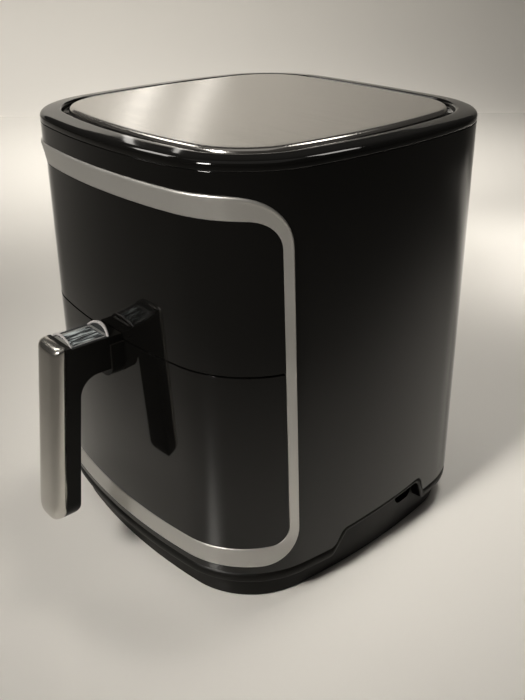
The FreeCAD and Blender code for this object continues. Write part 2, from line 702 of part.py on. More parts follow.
def base():
    """Base tray, its lip under the casing, the edging of the hand recesses and the posts."""
    tray = sleeve("base_skirt", "base_inset", "base_inset + base_wall", "skirt_bottom", "base_top")
    slot = rectangle("finger_front", "finger_back", "finger_low", "finger_high", "notch_round")
    pocket(loops(tray, "fingers", "YZ_Plane", [slot]), symmetric=True)
    lip = sleeve("casing_lip", "lip_step", "base_inset", "lip_bottom", "housing_bottom")
    pocket(loops(lip, "notch", "YZ_Plane", [notch("0")]), symmetric=True)
    edging_top = "notch_top + notch_tilt + notch_lip"
    edging = sleeve("recess_edging", "lip_step", "base_inset", "housing_bottom", edging_top)
    keep_front(edging, "keep", notch("notch_lip"))
    pocket(loops(edging, "notch", "YZ_Plane", [notch("0")]), symmetric=True)
    plate = new_body("base_plate")
    pad(outline(plate, "floor", "base_bottom", "base_inset + base_wall"), "base_floor", taper=TAPER)
    spots = four("post_x", "post_y")
    bores = circles(plate, "bores", "XY_Plane", spots, "screw_radius + screw_clear", "base_bottom")
    pocket(bores, back=True)
    feet_spots = four("foot_x", "foot_y")
    pegs = circles(plate, "pegs", "XY_Plane", feet_spots, "foot_peg", "base_bottom")
    pad(pegs, "peg_length", back=True)
    posts = new_body("chamber_posts")
    deck = "base_bottom + base_floor"
    pad(circles(posts, "posts", "XY_Plane", spots, "post_radius", deck), "chamber_floor - (%s)" % deck)
    bores = circles(posts, "bores", "XY_Plane", spots, "screw_radius + screw_clear", deck)
    pocket(bores, "screw_grip - base_floor + screw_clear", back=True)
    feet = new_body("feet")
    pad(circles(feet, "pads", "XY_Plane", feet_spots, "foot_radius"), "base_bottom")
    holes = circles(feet, "holes", "XY_Plane", feet_spots, "foot_peg", "base_bottom")
    pocket(holes, "peg_length")
    screws = new_body("base_screws")
    pad(circles(screws, "shanks", "XY_Plane", spots, "screw_radius", "base_bottom"), "screw_grip")
    pad(circles(screws, "heads", "XY_Plane", spots, "screw_head", "base_bottom"), "screw_cap", back=True)


# Front frame, fixed panel and the wall behind it

def front():
    trim = sleeve("trim_frame", "-1 * trim_proud", PANEL_BACK, "trim_low - trim_rise",
                  "trim_high + trim_fall")
    keep_front(trim, "keep", front_shape(*TRIM))
    pocket(loops(trim, "opening", "YZ_Plane", [front_shape(*OPENING)]), symmetric=True)
    above = "drawer_seam + seam_gap / 2"
    panel = sleeve("front_panel", "panel_recess", PANEL_BACK, above, "opening_high + opening_fall")
    keep_front(panel, "keep", front_shape(*OPENING))
    wall = new_body("front_bulkhead")
    block = outline(wall, "block", above, PANEL_BACK)
    pad(block, "chamber_top - (%s)" % above, taper=TAPER)
    cut_between(wall, "-1 * chamber_front - bulkhead_sheet", "-1 * chamber_front")


def cut_between(body, near, far):
    """Keeps only the slab of a body between two distances front to back."""
    ahead = rectangle("-2 * body_depth", near, "-1 * rim_height", "2 * rim_height")
    behind = rectangle(far, "2 * body_depth", "-1 * rim_height", "2 * rim_height")
    pocket(loops(body, "slab", "YZ_Plane", [ahead, behind]), symmetric=True)


# Drawer: front, backing, pan, basket and rails

BELOW = "drawer_seam - seam_gap / 2"
BACKING_REAR = "backing_front - backing_sheet"
HOLE_ROWS = 8


def latch_slot(body):
    """Room for the latch bar and its travel."""
    slot = rectangle("-1 * latch_width / 2 - button_gap", "latch_width / 2 + button_gap",
                     "button_bottom - latch_travel", "button_bottom + latch_depth + button_gap")
    return loops(body, "latch", "XZ_Plane", [slot], BACKING_REAR + " + backing_sheet")


def drawer():
    face = sleeve("drawer_front", "panel_recess", PANEL_BACK, "opening_low", BELOW)
    keep_front(face, "keep", grown(OPENING, "-1 * drawer_gap"))
    holes = circles(face, "screws", "XZ_Plane", pair("handle_screw_x", "handle_screw_z"),
                    "screw_radius + screw_clear")
    pocket(holes, "body_depth", back=True)
    pocket(latch_slot(face), "body_depth", back=True)
    backing = new_body("drawer_backing")
    floor = "opening_low + opening_rise + 2 * drawer_gap"
    pad(outline(backing, "block", floor, PANEL_BACK), "%s - (%s)" % (BELOW, floor), taper=TAPER)
    cut_between(backing, "-1 * backing_front", "-1 * (%s)" % BACKING_REAR)
    bracket = new_body("handle_bracket")
    pad(outline(bracket, "block", "bracket_low", PANEL_BACK), "bracket_high - bracket_low", taper=TAPER)
    far_left = rectangle("-2 * body_width", "-1 * bracket_width / 2", "0", "2 * rim_height")
    far_right = rectangle("bracket_width / 2", "2 * body_width", "0", "2 * rim_height")
    pocket(loops(bracket, "sides", "XZ_Plane", [far_left, far_right]), symmetric=True)
    behind = rectangle("-1 * backing_front", "2 * body_depth", "0", "2 * rim_height")
    pocket(loops(bracket, "rear", "YZ_Plane", [behind]), symmetric=True)
    spots = pair("handle_screw_x", "handle_screw_z")
    pocket(circles(bracket, "screws", "XZ_Plane", spots, "screw_radius + screw_clear"), back=True)
    pocket(circles(bracket, "heads", "XZ_Plane", spots, "screw_head + screw_clear", "backing_front"),
           "handle_screw_head", back=True)
    pocket(latch_slot(bracket), back=True)


def pan():
    body = new_body("pan")
    side, rear = "pan_width / 2", "pan_back"
    plan = rectangle("-1 * " + side, side, "-1 * (%s)" % BACKING_REAR, rear, "pan_corner")
    pad(loops(body, "plan", "XY_Plane", [plan], "pan_floor"), "pan_top - pan_floor")
    wide = rectangle("-1 * %s - flange_reach" % side, side + " + flange_reach",
                     "pan_corner - (%s)" % BACKING_REAR, rear + " - pan_corner")
    flange = loops(body, "flange", "XY_Plane", [wide], "pan_top - flange_drop - flange_sheet")
    pad(flange, "flange_sheet")
    hollow = rectangle("pan_sheet - " + side, side + " - pan_sheet",
                       "pan_sheet - (%s)" % BACKING_REAR, rear + " - pan_sheet", "pan_corner - pan_sheet")
    pocket(loops(body, "hollow", "XY_Plane", [hollow], "pan_floor + pan_sheet"), back=True)


def basket():
    body = new_body("basket")
    gap = "pan_sheet + basket_gap"
    side = "pan_width / 2 - (%s)" % gap
    near, far = "%s - (%s)" % (gap, BACKING_REAR), "pan_back - (%s)" % gap
    floor = "pan_floor + pan_sheet + basket_lift"
    corner = "pan_corner - (%s)" % gap
    plan = rectangle("-1 * (%s)" % side, side, near, far, corner)
    hollow = rectangle("basket_sheet - (%s)" % side, "%s - basket_sheet" % side,
                       "%s + basket_sheet" % near, "%s - basket_sheet" % far, corner + " - basket_sheet")
    pad(loops(body, "wall", "XY_Plane", [plan, hollow], floor), "pan_top - basket_rim - (%s)" % floor)
    plate = new_body("basket_floor")
    pad(loops(plate, "plan", "XY_Plane", [hollow], floor), "basket_sheet")
    middle = "(pan_back - (%s)) / 2" % BACKING_REAR
    row = ["(%s) * hole_pitch" % (i - (HOLE_ROWS - 1) / 2) for i in range(HOLE_ROWS)]
    first = "%s - %s * hole_pitch" % (middle, (HOLE_ROWS - 1) / 2)
    holes = circles(plate, "holes", "XY_Plane", [(x, first) for x in row], "hole_radius", floor)
    cut = pocket(holes, "2 * basket_sheet", back=True)
    rows = plate.newObject("PartDesign::LinearPattern", "basket_rows")
    rows.Originals = [cut]
    rows.Direction = (holes, ["V_Axis"])
    bind(rows, "Length", "hole_pitch * %d" % (HOLE_ROWS - 1))
    rows.Occurrences = HOLE_ROWS
    plate.Tip = rows
    settle(rows)
    bumpers = new_body("basket_bumpers")
    half = "(%s) / 2 - bumper_inset" % "pan_back + (%s)" % BACKING_REAR
    spots = [(x, "%s + (%s)" % (middle, y)) for x, y in four("pan_width / 2 - bumper_inset", half)]
    pads = circles(bumpers, "pads", "XY_Plane", spots, "bumper_radius", "pan_floor + pan_sheet")
    pad(pads, "basket_lift")


# Handle with its steel cover, release button, clear guard and latch

LEAN = "grip_lean / (grip_top - grip_bottom)"


def grip_line(height, behind):
    """The grip's front-to-back place at a height, measured back from its outer face."""
    lean = "%s * ((%s) - grip_bottom)" % (LEAN, height)
    return "(%s) + %s - handle_reach" % (behind, lean)


def handle():
    core = new_body("handle_core")
    back = "cover_depth + core_depth"
    edge = "%s + upstand" % grip_line("grip_top", "cover_depth")
    corners = [
        ("-1 * tongue_end", "arm_bottom"),
        (grip_line("arm_bottom", back), "arm_bottom", "arm_round"),
        (grip_line("grip_bottom", back), "grip_bottom", "grip_round"),
        (grip_line("grip_bottom", "cover_depth"), "grip_bottom"),
        (grip_line("grip_top", "cover_depth"), "grip_top - cap_overlap"),
        (edge, "grip_top - cap_overlap"),
        (edge, "arm_top"),
        ("-1 * arm_root", "arm_top"),
        ("-1 * arm_root", BELOW),
        ("-1 * tongue_end", BELOW),
    ]
    pad(loops(core, "profile", "YZ_Plane", [corners]), "handle_width", symmetric=True)
    well = rectangle("-1 * button_width / 2 - button_gap", "button_width / 2 + button_gap",
                     "-1 * button_front - button_gap", "button_length - button_front + button_gap")
    pocket(loops(core, "well", "XY_Plane", [well], "arm_top"), "arm_top - well_floor")
    slot = latch_slot(core)
    pocket(slot, "button_front - button_length / 2 - backing_front", back=True)
    screws = circles(core, "screws", "XZ_Plane", pair("handle_screw_x", "handle_screw_z"),
                     "screw_radius + screw_clear", "backing_front")
    pocket(screws, "handle_screw_head + handle_screw_length + screw_clear", back=True)
    follow_front(core)
    round_foot(core)
    cover = new_body("handle_cover")
    corners = [
        (grip_line("grip_bottom", "cover_depth"), "grip_bottom"),
        (grip_line("grip_bottom", "0"), "grip_bottom", "cover_foot_round"),
        (grip_line("grip_top", "0"), "grip_top", "cover_round"),
        (grip_line("grip_top", "cover_depth"), "grip_top"),
    ]
    pad(loops(cover, "profile", "YZ_Plane", [corners]), "handle_width", symmetric=True)
    half = number("handle_width / 2")
    outer = number("grip_lean - handle_reach + cover_depth / 2")

    def front_edges(edge):
        box = edge.BoundBox
        at_side = abs(abs(box.XMin) - half) + abs(abs(box.XMax) - half) < 1e-3
        return at_side and box.XLength < 1e-3 and box.YMin < outer and box.ZLength > number("grip_top") / 3

    fillet(cover, "cover_side_round", front_edges)
    round_foot(cover)


def round_foot(body):
    """Cuts the corners of the grip's foot round, seen from the front."""
    around = rectangle("-1 * handle_width", "handle_width", "0", "rim_height")
    half = "handle_width / 2"
    kept = [
        ("-1 * " + half, "grip_bottom", "grip_corner"),
        (half, "grip_bottom", "grip_corner"),
        (half, "2 * grip_top - grip_bottom"),
        ("-1 * " + half, "2 * grip_top - grip_bottom"),
    ]
    pocket(loops(body, "foot", "XZ_Plane", [around, kept]), symmetric=True)


def follow_front(body):
    """Trims a body against the drawer front's tapered face."""
    tool = outline(body, "front_face", "arm_bottom - handle_width", "panel_recess")
    pocket(tool, "handle_width + 2 * arm_top - 2 * arm_bottom", taper=TAPER, back=True)


def collar():
    """A boss on the drawer front that holds the arm from below and from both sides."""
    body = new_body("handle_collar")
    arm = "handle_width / 2"
    half = "handle_width / 2 + collar_overlap"
    corners = [
        ("-1 * (%s)" % half, BELOW),
        ("-1 * " + arm, BELOW),
        ("-1 * " + arm, "arm_bottom"),
        (arm, "arm_bottom"),
        (arm, BELOW),
        (half, BELOW),
        (half, "collar_bottom", "collar_round"),
        ("-1 * (%s)" % half, "collar_bottom", "collar_round"),
    ]
    sketch = loops(body, "profile", "XZ_Plane", [corners], "backing_front")
    pad(sketch, "arm_root + collar_reach - backing_front")
    follow_front(body)


def release():
    """Button, clear guard, spring and latch bar."""
    button = new_body("release_button")
    plan = rectangle("-1 * button_width / 2", "button_width / 2", "-1 * button_front",
                     "button_length - button_front", "button_corner")
    pad(loops(button, "plan", "XY_Plane", [plan], "button_bottom"), "button_top - button_bottom")
    fillet(button, "button_round", level("button_top"))
    latch = new_body("latch_hook")
    start = "button_front - button_length"
    bar = rectangle("-1 * (%s)" % start, "latch_reach - (%s)" % start, "button_bottom",
                    "button_bottom + latch_depth")
    pad(loops(latch, "bar", "YZ_Plane", [bar]), "latch_width", symmetric=True)
    end = "latch_reach - (%s)" % start
    hook = rectangle("%s - hook_length" % end, end, "button_bottom - hook_drop",
                     "button_bottom + latch_depth / 2")
    pad(loops(latch, "hook", "YZ_Plane", [hook]), "latch_width", symmetric=True)
    spring = new_body("button_spring")
    middle = [("0", "button_length / 2 - button_front")]
    pad(circles(spring, "outside", "XY_Plane", middle, "spring_radius", "well_floor"),
        "button_bottom - well_floor")
    pocket(circles(spring, "inside", "XY_Plane", middle, "spring_radius - spring_wire", "well_floor"),
           back=True)
    guard = new_body("button_guard")
    near = "cover_depth + upstand + guard_gap"
    ahead = "-1 * (%s)" % grip_line("grip_top", near)
    pad(arch(guard, "outside", "handle_width / 2 - guard_inset", "guard_rise", ahead), "guard_length",
        back=True)
    inner = arch(guard, "inside", "handle_width / 2 - guard_inset - guard_wall", "guard_rise - guard_wall",
                 ahead)
    pocket(inner)


def arch(body, name, half, rise, ahead):
    """A shallow arch over the handle's arm, seen from the front."""
    sketch = sketch_on(body, name, "XZ_Plane", ahead)
    foot = "arm_top + guard_gap"
    z, w, up = number(foot), number(half), number(rise)
    left, right = FreeCAD.Vector(-w, z, 0), FreeCAD.Vector(w, z, 0)
    sketch.addGeometry(Part.Arc(right, FreeCAD.Vector(0, z + up, 0), left), False)
    sketch.addGeometry(Part.LineSegment(left, right), False)
    sketch.addConstraint(Sketcher.Constraint("Coincident", 0, 2, 1, 1))
    sketch.addConstraint(Sketcher.Constraint("Coincident", 0, 1, 1, 2))
    pin(sketch, 1, 1, "-1 * (%s)" % half, foot)
    pin(sketch, 1, 2, half, foot)
    rule(sketch, "((%s)^2 + (%s)^2) / (2 * (%s))" % (half, rise, rise), "Radius", 0)
    settle(sketch)
    return sketch


def handle_screws():
    body = new_body("handle_screws")
    spots = pair("handle_screw_x", "handle_screw_z")
    heads = circles(body, "heads", "XZ_Plane", spots, "screw_head", "backing_front")
    pad(heads, "handle_screw_head")
    shanks = circles(body, "shanks", "XZ_Plane", spots, "screw_radius", "backing_front")
    pad(shanks, "handle_screw_head + handle_screw_length")


# Cooking chamber, rails, guard plate and heating element

def chamber():
    body = new_body("inner_chamber")
    side, sheet_in = "chamber_width / 2", "chamber_sheet"
    plan = rectangle("-1 * " + side, side, "-1 * chamber_front", "chamber_back")
    pad(loops(body, "plan", "XY_Plane", [plan], "chamber_floor"), "chamber_top - chamber_floor")
    hollow = rectangle("%s - %s" % (sheet_in, side), "%s - %s" % (side, sheet_in),
                       "chamber_floor + chamber_sheet", "chamber_top - chamber_sheet")
    room = loops(body, "room", "XZ_Plane", [hollow], "chamber_front")
    pocket(room, "chamber_front + chamber_back - chamber_sheet")
    middle = [("0", "0")]
    pocket(circles(body, "shaft", "XY_Plane", middle, "shaft_hole", "chamber_top"),
           "2 * chamber_sheet")
    pocket(circles(body, "leads", "XY_Plane", element_ends(), "element_tube + lead_gap", "chamber_top"),
           "2 * chamber_sheet")
    pocket(circles(body, "probe", "XY_Plane", [("probe_x", "probe_y")], "probe_radius + screw_clear",
                   "chamber_top"), "2 * chamber_sheet")
    pocket(circles(body, "plunger", "XZ_Plane", [("0", "switch_z")], "plunger_radius + lead_gap"))
    rails = new_body("drawer_rails")
    high = "pan_top - flange_drop - flange_sheet - slide_gap"
    inner = "chamber_width / 2 - chamber_sheet"
    for name, sign in (("left", "-1 * "), ("right", "")):
        ends = sorted([sign + "(%s)" % inner, sign + "(%s - rail_width)" % inner], key=number)
        bar = rectangle(ends[0], ends[1], "%s - rail_depth" % high, high)
        sketch = loops(rails, name, "XZ_Plane", [bar], "chamber_front - rail_end")
        pad(sketch, "chamber_front + chamber_back - 2 * rail_end", back=True)
    grille = new_body("fan_grille")
    side = "chamber_width / 2 - chamber_sheet"
    plan = rectangle("-1 * (%s)" % side, side, "-1 * chamber_front", "chamber_back - chamber_sheet")
    pad(loops(grille, "plan", "XY_Plane", [plan], "grille_height"), "grille_sheet")
    centre = circles(grille, "centre", "XY_Plane", [("0", "0")], "grille_middle", "grille_height")
    pocket(centre, "2 * grille_sheet", back=True)
    for name, spots in (("near", "grille_ring"), ("far", "grille_far")):
        hole = circles(grille, name, "XY_Plane", [(spots, "0")], "grille_hole", "grille_height")
        polar(pocket(hole, "2 * grille_sheet", back=True), 12)


def element_ends():
    """Where the heating element's two leads go up, either side of the back."""
    half = "(360 - element_sweep) / 2"
    x, y = "element_radius * sin((%s) * 1 deg)" % half, "element_radius * cos((%s) * 1 deg)" % half
    return [("-1 * " + x, y), (x, y)]


def element():
    """A ring of tube with two leads, in one piece, and the clips that carry it."""
    torus = doc.addObject("Part::Torus", "element_ring")
    bind(torus, "Radius1", "element_radius")
    bind(torus, "Radius2", "element_tube")
    bind(torus, "Angle3", "element_sweep")
    half_gap = (360 - number("element_sweep")) / 2
    torus.Placement.Rotation = FreeCAD.Rotation(FreeCAD.Vector(0, 0, 1), 90 + half_gap)
    bind(torus, "Placement.Base.z", "element_height")
    pieces = [torus]
    for i, (x, y) in enumerate(element_ends()):
        lead = doc.addObject("Part::Cylinder", "element_lead_%d" % i)
        bind(lead, "Radius", "element_tube")
        bind(lead, "Height", "chamber_top + lead_rise - element_height")
        elbow = doc.addObject("Part::Sphere", "element_elbow_%d" % i)
        bind(elbow, "Radius", "element_tube")
        for piece in (lead, elbow):
            bind(piece, "Placement.Base.x", x)
            bind(piece, "Placement.Base.y", y)
            bind(piece, "Placement.Base.z", "element_height")
            pieces.append(piece)
    whole = doc.addObject("Part::MultiFuse", "heating_element")
    whole.Label = "heating_element"
    whole.Shapes = pieces
    bind(whole, "Placement.Base.y", CENTRING)
    settle(whole)
    parts.append(whole)
    seals = new_body("lead_seals")
    pad(circles(seals, "rings", "XY_Plane", element_ends(), "seal_radius", "chamber_top"), "seal_height")
    pocket(circles(seals, "bores", "XY_Plane", element_ends(), "element_tube", "chamber_top"), back=True)
    clips = new_body("element_clips")
    seat = "element_height - element_tube"
    near, wall = "element_radius - clip_sheet", "element_radius + element_tube + clip_gap"
    for name, sign in (("left", "-1"), ("right", "1")):
        hanger = [
            ("%s * (%s)" % (sign, near), "%s - clip_sheet" % seat),
            ("%s * (%s + clip_sheet)" % (sign, wall), "%s - clip_sheet" % seat),
            ("%s * (%s + clip_sheet)" % (sign, wall), "chamber_top - chamber_sheet"),
            ("%s * (%s)" % (sign, wall), "chamber_top - chamber_sheet"),
            ("%s * (%s)" % (sign, wall), seat),
            ("%s * (%s)" % (sign, near), seat),
        ]
        pad(loops(clips, name, "XZ_Plane", [hanger]), "clip_width", symmetric=True)


# Motor, shaft, fans

def fans():
    for label, low, radius, height, count in (
        ("convection_fan", "fan_low", "fan_radius", "blade_height", 10),
        ("cooling_fan", "blower_low", "blower_radius", "blower_height", 8),
    ):
        body = new_body(label)
        middle = [("0", "0")]
        pad(circles(body, "disc", "XY_Plane", middle, radius, low), "fan_sheet")
        pad(circles(body, "hub", "XY_Plane", middle, "hub_radius", low), height)
        blade = rectangle("hub_radius + 2 * blade_sheet", radius + " - blade_sheet",
                          "-1 * blade_sheet / 2", "blade_sheet / 2")
        polar(pad(loops(body, "blade", "XY_Plane", [blade], low), height), count)
        bore = circles(body, "bore", "XY_Plane", middle, "shaft_radius", low)
        pocket(bore, back=True)
    shaft = new_body("motor_shaft")
    pad(circles(shaft, "rod", "XY_Plane", [("0", "0")], "shaft_radius", "shaft_low"),
        "shaft_high - shaft_low")
    nut = new_body("fan_nut")
    hexagon = [("nut_radius * cos(%d deg)" % a, "nut_radius * sin(%d deg)" % a) for a in range(30, 390, 60)]
    pad(loops(nut, "hexagon", "XY_Plane", [hexagon], "fan_low - nut_height"), "nut_height")
    pocket(circles(nut, "bore", "XY_Plane", [("0", "0")], "shaft_radius", "fan_low - nut_height"),
           back=True)


def motor():
    body = new_body("motor")
    middle = [("0", "0")]
    pad(circles(body, "can", "XY_Plane", middle, "motor_radius", "motor_low"), "motor_height")
    bore = circles(body, "bore", "XY_Plane", middle, "shaft_radius + shaft_gap", "motor_low")
    pocket(bore, "motor_bore_depth", back=True)
    screw_spots = pair("motor_screw_x", "0")
    pocket(circles(body, "threads", "XY_Plane", screw_spots, "screw_radius + screw_clear", "motor_low"),
           "motor_screw_grip + screw_clear", back=True)
    bridge = new_body("motor_bridge")
    deck = "motor_low - bridge_sheet"
    half = "bridge_leg + bridge_sheet"
    strap = rectangle("-1 * (%s)" % half, half, "-1 * bridge_width / 2", "bridge_width / 2")
    pad(loops(bridge, "deck", "XY_Plane", [strap], deck), "bridge_sheet")
    for name, sign in (("left", "-1"), ("right", "1")):
        ends = sorted(["%s * bridge_leg" % sign, "%s * (%s)" % (sign, half)], key=number)
        leg = rectangle(ends[0], ends[1], "-1 * bridge_width / 2", "bridge_width / 2")
        pad(loops(bridge, name, "XY_Plane", [leg], "chamber_top"), "%s - chamber_top" % deck)
    pocket(circles(bridge, "shaft", "XY_Plane", middle, "shaft_hole", deck), back=True)
    holes = circles(bridge, "screws", "XY_Plane", screw_spots, "screw_radius + screw_clear", deck)
    pocket(holes, back=True)
    screws = new_body("motor_screws")
    pad(circles(screws, "shanks", "XY_Plane", screw_spots, "screw_radius", deck),
        "bridge_sheet + motor_screw_grip")
    pad(circles(screws, "heads", "XY_Plane", screw_spots, "screw_head", deck), "screw_cap", back=True)


# Boards, sensors and switch

def electrics():
    board = new_body("control_board")
    side, near, far = "board_width / 2", "board_y - board_depth / 2", "board_y + board_depth / 2"
    pad(loops(board, "sheet", "XY_Plane", [rectangle("-1 * " + side, side, near, far)], "board_low"),
        "board_sheet")
    chip = rectangle("-1 * %s / 2" % side, side + " / 2", "board_y - board_depth / 4",
                     "board_y + board_depth / 4")
    pad(loops(board, "chips", "XY_Plane", [chip], "board_low"), "chip_height", back=True)
    posts = new_body("board_standoffs")
    places = four(side + " - standoff_inset", "board_depth / 2 - standoff_inset")
    spots = [(x, "board_y + (%s)" % y) for x, y in places]
    deck = "board_low + board_sheet"
    pad(circles(posts, "posts", "XY_Plane", spots, "standoff_radius", deck),
        "plate_top - plate_sheet - (%s)" % deck)
    power = new_body("power_board")
    wall = "chamber_width / 2 + power_stand"
    edge = rectangle("-1 * power_width / 2", "power_width / 2", "power_low", "power_low + power_height")
    pad(loops(power, "sheet", "YZ_Plane", [edge], wall), "board_sheet")
    relay = rectangle("-1 * power_width / 4", "0", "power_low + power_height / 4",
                      "power_low + power_height / 2")
    pad(loops(power, "relay", "YZ_Plane", [relay], wall), "board_sheet + relay_depth")
    stands = new_body("power_standoffs")
    spots = [(y, "power_low + power_height / 2 + (%s)" % z)
             for y, z in four("power_width / 2 - standoff_inset", "power_height / 2 - standoff_inset")]
    pad(circles(stands, "posts", "YZ_Plane", spots, "standoff_radius", "chamber_width / 2"), "power_stand")
    probe_rod = new_body("temperature_probe")
    spot = [("probe_x", "probe_y")]
    rod = circles(probe_rod, "rod", "XY_Plane", spot, "probe_radius", "chamber_top")
    pad(rod, "probe_length", back=True)
    pad(circles(probe_rod, "head", "XY_Plane", spot, "probe_head", "chamber_top"), "probe_radius * 2")
    fuse = new_body("thermal_fuse")
    can = circles(fuse, "can", "XZ_Plane", [("-1 * fuse_x", "chamber_top + fuse_radius")], "fuse_radius")
    pad(can, "fuse_length", symmetric=True)
    switch = new_body("drawer_switch")
    case = rectangle("-1 * switch_width / 2", "switch_width / 2", "switch_z - switch_height / 2",
                     "switch_z + switch_height / 2")
    face = loops(switch, "case", "XZ_Plane", [case], "-1 * chamber_back")
    pad(face, "switch_depth", back=True)
    pin_end = circles(switch, "plunger", "XZ_Plane", [("0", "switch_z")], "plunger_radius",
                      "-1 * chamber_back")
    pad(pin_end, "chamber_back - pan_back - plunger_gap")


# Back of the casing

def back():
    vent = new_body("rear_vent")
    side = "vent_width / 2"
    outer = rectangle("-1 * " + side, side, "vent_low", "vent_high", "vent_corner")
    pad(loops(vent, "outside", "XZ_Plane", [outer], "-1 * rear_reach"), "vent_depth")
    inner = rectangle("vent_wall - " + side, side + " - vent_wall", "vent_low + vent_wall",
                      "vent_high - vent_wall", "vent_corner - vent_wall")
    pocket(loops(vent, "hollow", "XZ_Plane", [inner], "vent_depth - rear_reach"), "vent_depth - vent_wall")
    first = "(vent_low + vent_high) / 2 - (slot_count - 1) * slot_pitch / 2 - slot_height / 2"
    slot = rectangle("vent_corner - " + side, side + " - vent_corner", first, first + " + slot_height",
                     "slot_height / 2.5")
    cut = pocket(loops(vent, "slot", "XZ_Plane", [slot], "-1 * rear_reach"), "2 * vent_wall", back=True)
    rows = vent.newObject("PartDesign::LinearPattern", "rear_vent_rows")
    rows.Originals = [cut]
    rows.Direction = (cut.Profile[0], ["V_Axis"])
    bind(rows, "Length", "(slot_count - 1) * slot_pitch")
    bind(rows, "Occurrences", "slot_count")
    vent.Tip = rows
    settle(rows)
    gland = new_body("cord_gland")
    spot = [("gland_x", "gland_z")]
    inside = "body_depth / 2 - side_taper - housing_wall - gland_in"
    pad(circles(gland, "barrel", "XZ_Plane", spot, "gland_radius", "-1 * (%s)" % inside),
        "rear_reach - (%s)" % inside, back=True)
    pad(circles(gland, "flange", "XZ_Plane", spot, "gland_flange", "-1 * (%s)" % inside),
        "gland_in / 2", back=True)
    pocket(circles(gland, "bore", "XZ_Plane", spot, "gland_bore", "-1 * (%s)" % inside))


outer_housing()
top_ring()
top_plate()
base()
front()
drawer()
pan()
basket()
handle()
collar()
release()
handle_screws()
chamber()
element()
fans()
motor()
electrics()
back()

doc.removeObject(probe.Name)
doc.recompute()
for thing in doc.Objects:
    if "Invalid" in thing.State or "Error" in thing.State:
        raise RuntimeError("%s failed: %s" % (thing.Name, thing.State))
for part in parts:
    if part.Shape.isNull() or not part.Shape.isValid() or not part.Shape.Solids:
        raise RuntimeError("%s has no valid shape" % part.Label)

os.makedirs("parts", exist_ok=True)
whole_box = FreeCAD.BoundBox()
for part in parts:
    part.Shape.exportStep("parts/%s.step" % part.Label)
    whole_box.add(part.Shape.BoundBox)
    print(part.Label, "solids", len(part.Shape.Solids), "volume", round(part.Shape.Volume, 1))
print("box", whole_box)
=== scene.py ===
# %% [markdown]
# A basket air fryer, dressed over its CAD frame
# The engineering model gives every piece its place. This lesson lays clean, finely divided
# shells and real finishes over it, so that gloss black plastic and brushed steel look right.

import json
import math

import bpy
from mathutils import Matrix, Vector


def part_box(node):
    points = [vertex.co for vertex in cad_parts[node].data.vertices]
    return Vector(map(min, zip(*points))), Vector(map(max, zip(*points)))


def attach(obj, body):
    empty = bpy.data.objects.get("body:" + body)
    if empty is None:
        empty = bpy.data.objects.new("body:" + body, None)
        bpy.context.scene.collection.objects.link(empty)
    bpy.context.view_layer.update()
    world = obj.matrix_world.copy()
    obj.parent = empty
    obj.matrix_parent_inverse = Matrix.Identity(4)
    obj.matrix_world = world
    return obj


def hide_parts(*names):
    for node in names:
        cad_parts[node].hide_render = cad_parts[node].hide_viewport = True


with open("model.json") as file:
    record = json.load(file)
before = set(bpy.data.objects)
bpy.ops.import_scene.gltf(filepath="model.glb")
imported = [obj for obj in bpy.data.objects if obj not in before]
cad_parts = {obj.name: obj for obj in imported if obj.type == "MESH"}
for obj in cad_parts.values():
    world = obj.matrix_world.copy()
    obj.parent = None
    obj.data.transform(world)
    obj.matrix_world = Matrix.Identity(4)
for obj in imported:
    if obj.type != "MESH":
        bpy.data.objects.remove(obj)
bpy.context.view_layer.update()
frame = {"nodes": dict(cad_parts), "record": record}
NODES = frame["nodes"]
SLOT_OF = {part["node"]: part["material_slot"] for part in frame["record"]["subparts"]}

# %% [markdown]
# Working in millimetres from the middle of the casing
# A moulder's drawing is in millimetres about the casing's own centre line. The motor shaft stands
# on that line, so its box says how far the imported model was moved. One helper turns a drawing
# point into a Blender point, and every piece below is written in drawing sizes.

# %% Drawing space
MM = 0.001
shaft_low, shaft_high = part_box("motor_shaft")
MIDDLE = (shaft_low.y + shaft_high.y) / 2 / MM


def at(x, y, z):
    """A drawing point, in millimetres about the casing's middle, as a Blender point."""
    return (x * MM, (y + MIDDLE) * MM, z * MM)


print("middle of the casing: y = %.1f mm" % MIDDLE)

# %% [markdown]
# Finishes: helpers
# A finish is a Principled shader with something uneven in it, because no moulded or brushed
# surface is perfectly even. Small helpers make a noise that can be stretched, and turn it into a
# range of roughness, a blend of two colours or a slight relief. Values that are the same all over
# the surface go straight on the shader's own sockets, so that they survive the export.

# %% A finish and its grain
FINISHES = {}


def finish(slot, color, roughness, metallic=0.0):
    """A new Principled material for one of the record's slots."""
    material = bpy.data.materials.new(slot)
    material.use_nodes = True
    shader = material.node_tree.nodes["Principled BSDF"]
    shader.inputs["Base Color"].default_value = (*color, 1)
    shader.inputs["Roughness"].default_value = roughness
    shader.inputs["Metallic"].default_value = metallic
    FINISHES[slot] = material
    return material.node_tree, shader


def grain(tree, scale, stretch=(1, 1, 1), detail=2.0):
    """A noise in object space; stretch squeezes it along each axis."""
    place = tree.nodes.new("ShaderNodeTexCoord")
    squeeze = tree.nodes.new("ShaderNodeMapping")
    squeeze.inputs["Scale"].default_value = stretch
    noise = tree.nodes.new("ShaderNodeTexNoise")
    noise.inputs["Scale"].default_value = scale
    noise.inputs["Detail"].default_value = detail
    tree.links.new(place.outputs["Object"], squeeze.inputs["Vector"])
    tree.links.new(squeeze.outputs["Vector"], noise.inputs["Vector"])
    return noise.outputs["Fac"]


print("a finish starts with", finish.__name__, "and", grain.__name__)

# %% What the grain drives
NOISE_LOW, NOISE_HIGH = 0.3, 0.7


